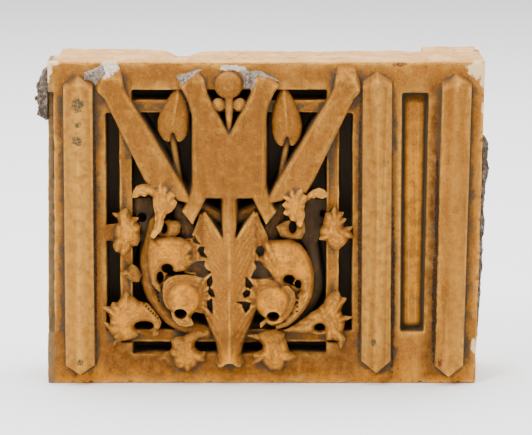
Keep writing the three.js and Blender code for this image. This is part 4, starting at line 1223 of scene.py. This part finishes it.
# Materials
class Shader:
    """A small help for wiring a procedural material."""

    def __init__(self, name):
        self.material = bpy.data.materials.new(name)
        self.material.use_nodes = True
        self.tree = self.material.node_tree
        self.tree.nodes.clear()
        out = self.node("ShaderNodeOutputMaterial")
        self.bsdf = self.node("ShaderNodeBsdfPrincipled")
        self.tree.links.new(self.bsdf.outputs[0], out.inputs[0])
        self.coords = self.node("ShaderNodeTexCoord").outputs["Object"]

    def node(self, kind, **values):
        """A new node, with those settings."""
        n = self.tree.nodes.new(kind)
        for key, value in values.items():
            setattr(n, key, value)
        return n

    def feed(self, socket, value):
        """A link or a plain value into a socket."""
        if isinstance(value, bpy.types.NodeSocket):
            self.tree.links.new(value, socket)
        else:
            socket.default_value = value

    def look(self, base, roughness, specular):
        """Colour, roughness and shine of the surface."""
        values = {"Base Color": base, "Roughness": roughness, "Specular IOR Level": specular}
        for name, value in values.items():
            self.feed(self.bsdf.inputs[name], value)

    def noise(self, size_mm, detail=4.0, rough=0.55, upright=1.0):
        """Blotches of that size, drawn out upwards where asked."""
        spread = self.node("ShaderNodeMapping")
        self.feed(spread.inputs["Vector"], self.coords)
        spread.inputs["Scale"].default_value = (1, 1, 1 / upright)
        n = self.node("ShaderNodeTexNoise")
        self.feed(n.inputs["Vector"], spread.outputs[0])
        n.inputs["Scale"].default_value = 1000.0 / size_mm
        n.inputs["Detail"].default_value = detail
        n.inputs["Roughness"].default_value = rough
        return n.outputs["Fac"]

    def ramp(self, value, a, b, low=0.0, high=1.0):
        """From low to high, as the value runs from a to b."""
        n = self.node("ShaderNodeMapRange", interpolation_type="SMOOTHSTEP")
        self.feed(n.inputs["Value"], value)
        for name, x in (("From Min", a), ("From Max", b), ("To Min", low), ("To Max", high)):
            n.inputs[name].default_value = x
        return n.outputs["Result"]

    def patchy(self, size_mm, a, b, low=0.0, high=1.0, detail=4.0, rough=0.55, upright=1.0):
        """From low to high, in blotches of that size."""
        return self.ramp(self.noise(size_mm, detail, rough, upright), a, b, low, high)

    def math(self, op, a, b):
        """One sum on two values."""
        n = self.node("ShaderNodeMath", operation=op)
        self.feed(n.inputs[0], a)
        self.feed(n.inputs[1], b)
        return n.outputs[0]

    def times(self, a, b):
        """One value times another."""
        return self.math("MULTIPLY", a, b)

    def mix(self, fac, a, b):
        """From colour a to colour b."""
        n = self.node("ShaderNodeMix", data_type="RGBA")
        self.feed(n.inputs[0], fac)
        self.feed(n.inputs[6], a)
        self.feed(n.inputs[7], b)
        return n.outputs[2]

    def attr(self, name):
        """A value kept on the mesh."""
        return self.node("ShaderNodeAttribute", attribute_name=name).outputs["Fac"]

    def blots(self, places, fray_mm):
        """Marks on the front of the piece, with frayed edges."""
        x, y, z = self.split().outputs
        fray = self.patchy(fray_mm, 0.3, 0.7, -0.45, 0.45, rough=0.6)
        total = 0.0
        for cu, cv, ru, rv in places:
            along = self.math("DIVIDE", self.math("SUBTRACT", x, cu / 1000), ru / 1000)
            up = self.math("DIVIDE", self.math("SUBTRACT", z, cv / 1000), rv / 1000)
            away = self.math("ADD", self.times(along, along), self.times(up, up))
            total = self.math("MAXIMUM", total, self.ramp(self.math("ADD", away, fray), 0.6, 1.1, 1, 0))
        front, behind = -0.046, -0.040
        return self.times(total, self.ramp(y, front, behind, 1, 0))

    def split(self):
        """The place on the piece, as x, y and z."""
        n = self.node("ShaderNodeSeparateXYZ")
        self.feed(n.inputs[0], self.coords)
        return n

    def bump(self, height, strength, distance_mm):
        """Fine relief of the surface."""
        n = self.node("ShaderNodeBump")
        n.inputs["Strength"].default_value = strength
        n.inputs["Distance"].default_value = distance_mm / 1000
        self.feed(n.inputs["Height"], height)
        self.tree.links.new(n.outputs[0], self.bsdf.inputs["Normal"])


def rgb(*levels):
    """sRGB bytes to a linear colour."""
    linear = []
    for level in levels:
        c = level / 255
        linear.append(c / 12.92 if c <= 0.04045 else ((c + 0.055) / 1.055) ** 2.4)
    return (*linear, 1.0)


def clay_body(s):
    """The fired clay: warm buff with blotches, streaks and a fine grain, lighter where it is worn, with
    painted highlights on the crowns and arrises.
    """
    body = s.mix(s.patchy(60, 0.35, 0.65), rgb(142, 89, 30), rgb(156, 101, 38))
    # painted highlight, with some wear, on the crowns
    lit = s.times(s.attr("crown"), s.patchy(11, 0.38, 0.58, 0.05, 0.85))
    body = s.mix(lit, body, rgb(222, 142, 26))
    body = s.mix(s.patchy(16, 0.45, 0.68, 0, 0.55, detail=6, rough=0.65), body, rgb(128, 77, 26))
    streaks = s.patchy(6, 0.5, 0.72, 0, 0.5, detail=5, rough=0.6, upright=9)
    body = s.mix(streaks, body, rgb(114, 70, 28))
    body = s.mix(s.patchy(5, 0.5, 0.68, 0, 0.4), body, rgb(188, 124, 34))
    body = s.mix(s.patchy(2.4, 0.56, 0.7, 0, 0.55, detail=3), body, rgb(100, 58, 20))
    body = s.mix(s.patchy(1.4, 0.55, 0.75, 0, 0.35, detail=2), body, rgb(200, 138, 46))
    body = s.mix(s.patchy(1.1, 0.55, 0.75, 0, 0.7, detail=2), body, rgb(84, 52, 22))
    # arrises lighter: rubbed clay, with a painted highlight along the edges
    rubbed_and_highlit = s.times(s.attr("arris"), s.patchy(6, 0.3, 0.6, 0.25, 0.8))
    return s.mix(rubbed_and_highlit, body, rgb(222, 162, 70))


def bare_clay(s):
    """Clay without a weathered skin: paler, with a few dark patches."""
    bare = s.mix(s.patchy(7, 0.3, 0.7, detail=5), rgb(200, 154, 98), rgb(182, 130, 76))
    bare = s.mix(s.patchy(30, 0.45, 0.65, 0, 0.5, detail=5), bare, rgb(218, 182, 128))
    return s.mix(s.patchy(14, 0.6, 0.66, 0, 0.75, detail=5, rough=0.7), bare, rgb(104, 70, 40))


def grime_and_shade(s, body):
    """Brown stains and painted shade on the face, soot and painted shade in the creases and on the ground,
    and a dull film on the left end.
    """
    # brown stains and painted shade, mixed towards dark brown
    stain_and_shade = s.times(s.attr("stain_and_shade"), s.patchy(7, 0.3, 0.62, 0.5, 1.3, detail=6, rough=0.7))
    body = s.mix(s.math("MINIMUM", stain_and_shade, 0.9), body, rgb(76, 40, 11))
    # soot and painted shade in the creases, hollows and sunk ground, in two dark greys
    crease = s.times(s.times(s.attr("crease"), 0.95), s.patchy(2.6, 0.35, 0.62, 0.5, 1.3, rough=0.7))
    soot_and_shade = s.math("ADD", s.math("ADD", crease, s.attr("sunk")), s.times(s.attr("hollow"), 0.35))
    soot_and_shade = s.times(soot_and_shade, s.patchy(9, 0.2, 0.6, 0.6, 1.1))
    body = s.mix(s.ramp(soot_and_shade, 0.06, 0.5, 0, 0.85), body, rgb(84, 64, 42))
    body = s.mix(s.ramp(soot_and_shade, 0.45, 0.95, 0, 0.95), body, rgb(70, 60, 46))
    left_end = s.ramp(s.split().outputs[0], -0.1985, -0.1965, 1, 0)
    film = s.times(left_end, s.patchy(8, 0.3, 0.55, 0.4, 0.9, detail=5, rough=0.65))
    return s.mix(film, body, rgb(112, 92, 64))


def marks(s, body):
    """Soot and painted shade beside the bars, rust, fresh breaks, mould and plaster on the face."""
    soot_and_shade = s.times(s.blots(SOOT_AND_SHADE, 5), s.patchy(2.2, 0.35, 0.6, 0.35, 0.95, rough=0.7))
    body = s.mix(soot_and_shade, body, rgb(44, 28, 14))
    rust = s.times(s.blots(RUST, 3), s.patchy(2, 0.35, 0.6, 0.3, 0.9, detail=3))
    body = s.mix(rust, body, rgb(84, 34, 26))
    body = s.mix(s.blots(BROKEN, 5), body, rgb(228, 194, 142))
    mould = s.times(s.blots(MOULD, 3), s.patchy(1.8, 0.35, 0.55, 0.35, 0.95, detail=3))
    body = s.mix(mould, body, rgb(62, 62, 46))
    plaster = s.times(s.blots(PLASTER, 4), s.patchy(3, 0.3, 0.55, 0.5, 0.95))
    return s.mix(plaster, body, rgb(205, 194, 178))


def clay_material():
    """Fired clay, bare where the skin is lost, with its grime, painted shade, painted highlights and marks.
    """
    s = Shader("clay")
    bare = s.times(s.attr("bare"), s.patchy(5, 0.25, 0.5, 0.75, 1.0))
    body = s.mix(bare, clay_body(s), bare_clay(s))
    s.look(marks(s, grime_and_shade(s, body)), s.patchy(12, 0.3, 0.7, 0.62, 0.85), MATT)
    s.bump(s.noise(1.6, 4, 0.6), 0.45, 0.8)
    return s.material


def mortar_material():
    """Grey mortar with sand in it, soiled on the ends of the block."""
    s = Shader("mortar")
    body = s.mix(s.patchy(1.5, 0.38, 0.62, detail=3), rgb(154, 138, 122), rgb(80, 68, 58))
    body = s.mix(s.patchy(8, 0.4, 0.7, 0, 0.5), body, rgb(166, 152, 138))
    ends = s.ramp(s.math("ABSOLUTE", s.split().outputs[0], 0.0), 0.195, 0.202)
    soiled = s.times(ends, s.patchy(7, 0.35, 0.6, 0.15, 0.9, detail=6, rough=0.7))
    s.look(s.mix(soiled, body, rgb(54, 44, 34)), s.patchy(6, 0.3, 0.7, 0.85, 0.97), MATT)
    s.bump(s.noise(1.2, 4, 0.65), 0.6, 0.8)
    return s.material


def floor_material():
    """A nearly white floor."""
    s = Shader("floor")
    body = s.mix(s.patchy(900, 0.3, 0.7), rgb(250, 250, 250), rgb(247, 247, 248))
    s.look(body, 0.9, SATIN)
    return s.material


# The scene
def finish_piece(obj, node, material):
    """Material of a piece, and what it stands for."""
    obj.data.materials.clear()
    obj.data.materials.append(material)
    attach(obj, "root")
    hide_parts(node)


def piece(name, field, triangles, node, material):
    """One mesh from its field, finished."""
    obj = make_mesh(name, *surface(field))
    thin_out(obj, triangles)
    weather_and_shade(obj, field)
    smooth(obj)
    finish_piece(obj, node, material)


def block(face, material):
    """The fired block: its face and the webs behind it."""
    piece("block_face", face, FACE_TRIANGLES, "terracotta_block", material)
    piece("block_back", carve_back(), BACK_TRIANGLES, "terracotta_block", material)


def mortar(face, material):
    """Old bedding mortar on the ends and on the face."""
    lumps = {name: lump_on_end(*sizes) for name, sizes in END_MORTAR.items()}
    for name, (thick, outline) in FACE_MORTAR.items():
        lumps[name] = patch_on_face(face, outline, thick)
    for name, field in lumps.items():
        piece(name + "_rough", field, MORTAR_TRIANGLES, name, material)


def studio_floor():
    """A pale floor under the block."""
    half = 6
    corners = [(-half, -half, 0), (half, -half, 0), (half, half, 0), (-half, half, 0)]
    floor = bpy.data.meshes.new("floor")
    floor.from_pydata(corners, [], [(0, 1, 2, 3)])
    floor.materials.append(floor_material())
    floor_obj = place("floor", floor)


def studio_lights():
    """A white sky, and soft lights aimed at the block."""
    world = bpy.data.worlds.new("studio")
    bpy.context.scene.world = world
    world.use_nodes = True
    sky = world.node_tree.nodes["Background"]
    sky.inputs["Color"].default_value = (1, 1, 1, 1)
    sky.inputs["Strength"].default_value = SKY
    for name, (spot, size, power) in LIGHTS.items():
        light = bpy.data.lights.new(name, "AREA")
        light.size = size
        light.energy = power
        lamp = place(name, light)
        lamp.location = spot
        lamp.rotation_euler = (LIT_POINT - Vector(spot)).to_track_quat("-Z", "Y").to_euler()


def studio_camera():
    """The camera: square on to the face, and a little above it."""
    pitch = math.radians(PITCH)
    cam = bpy.data.cameras.new("camera")
    cam.sensor_width = SENSOR
    cam.lens = FOCAL_RATIO * cam.sensor_width
    camera = place("camera", cam)
    camera.location = AIM + DISTANCE * Vector((0, -math.cos(pitch), math.sin(pitch)))
    camera.rotation_euler = (math.pi / 2 - pitch, 0, 0)
    bpy.context.scene.camera = camera


carved = carve_face()
block(carved, clay_material())
mortar(carved, mortar_material())
studio_floor()
studio_lights()
studio_camera()
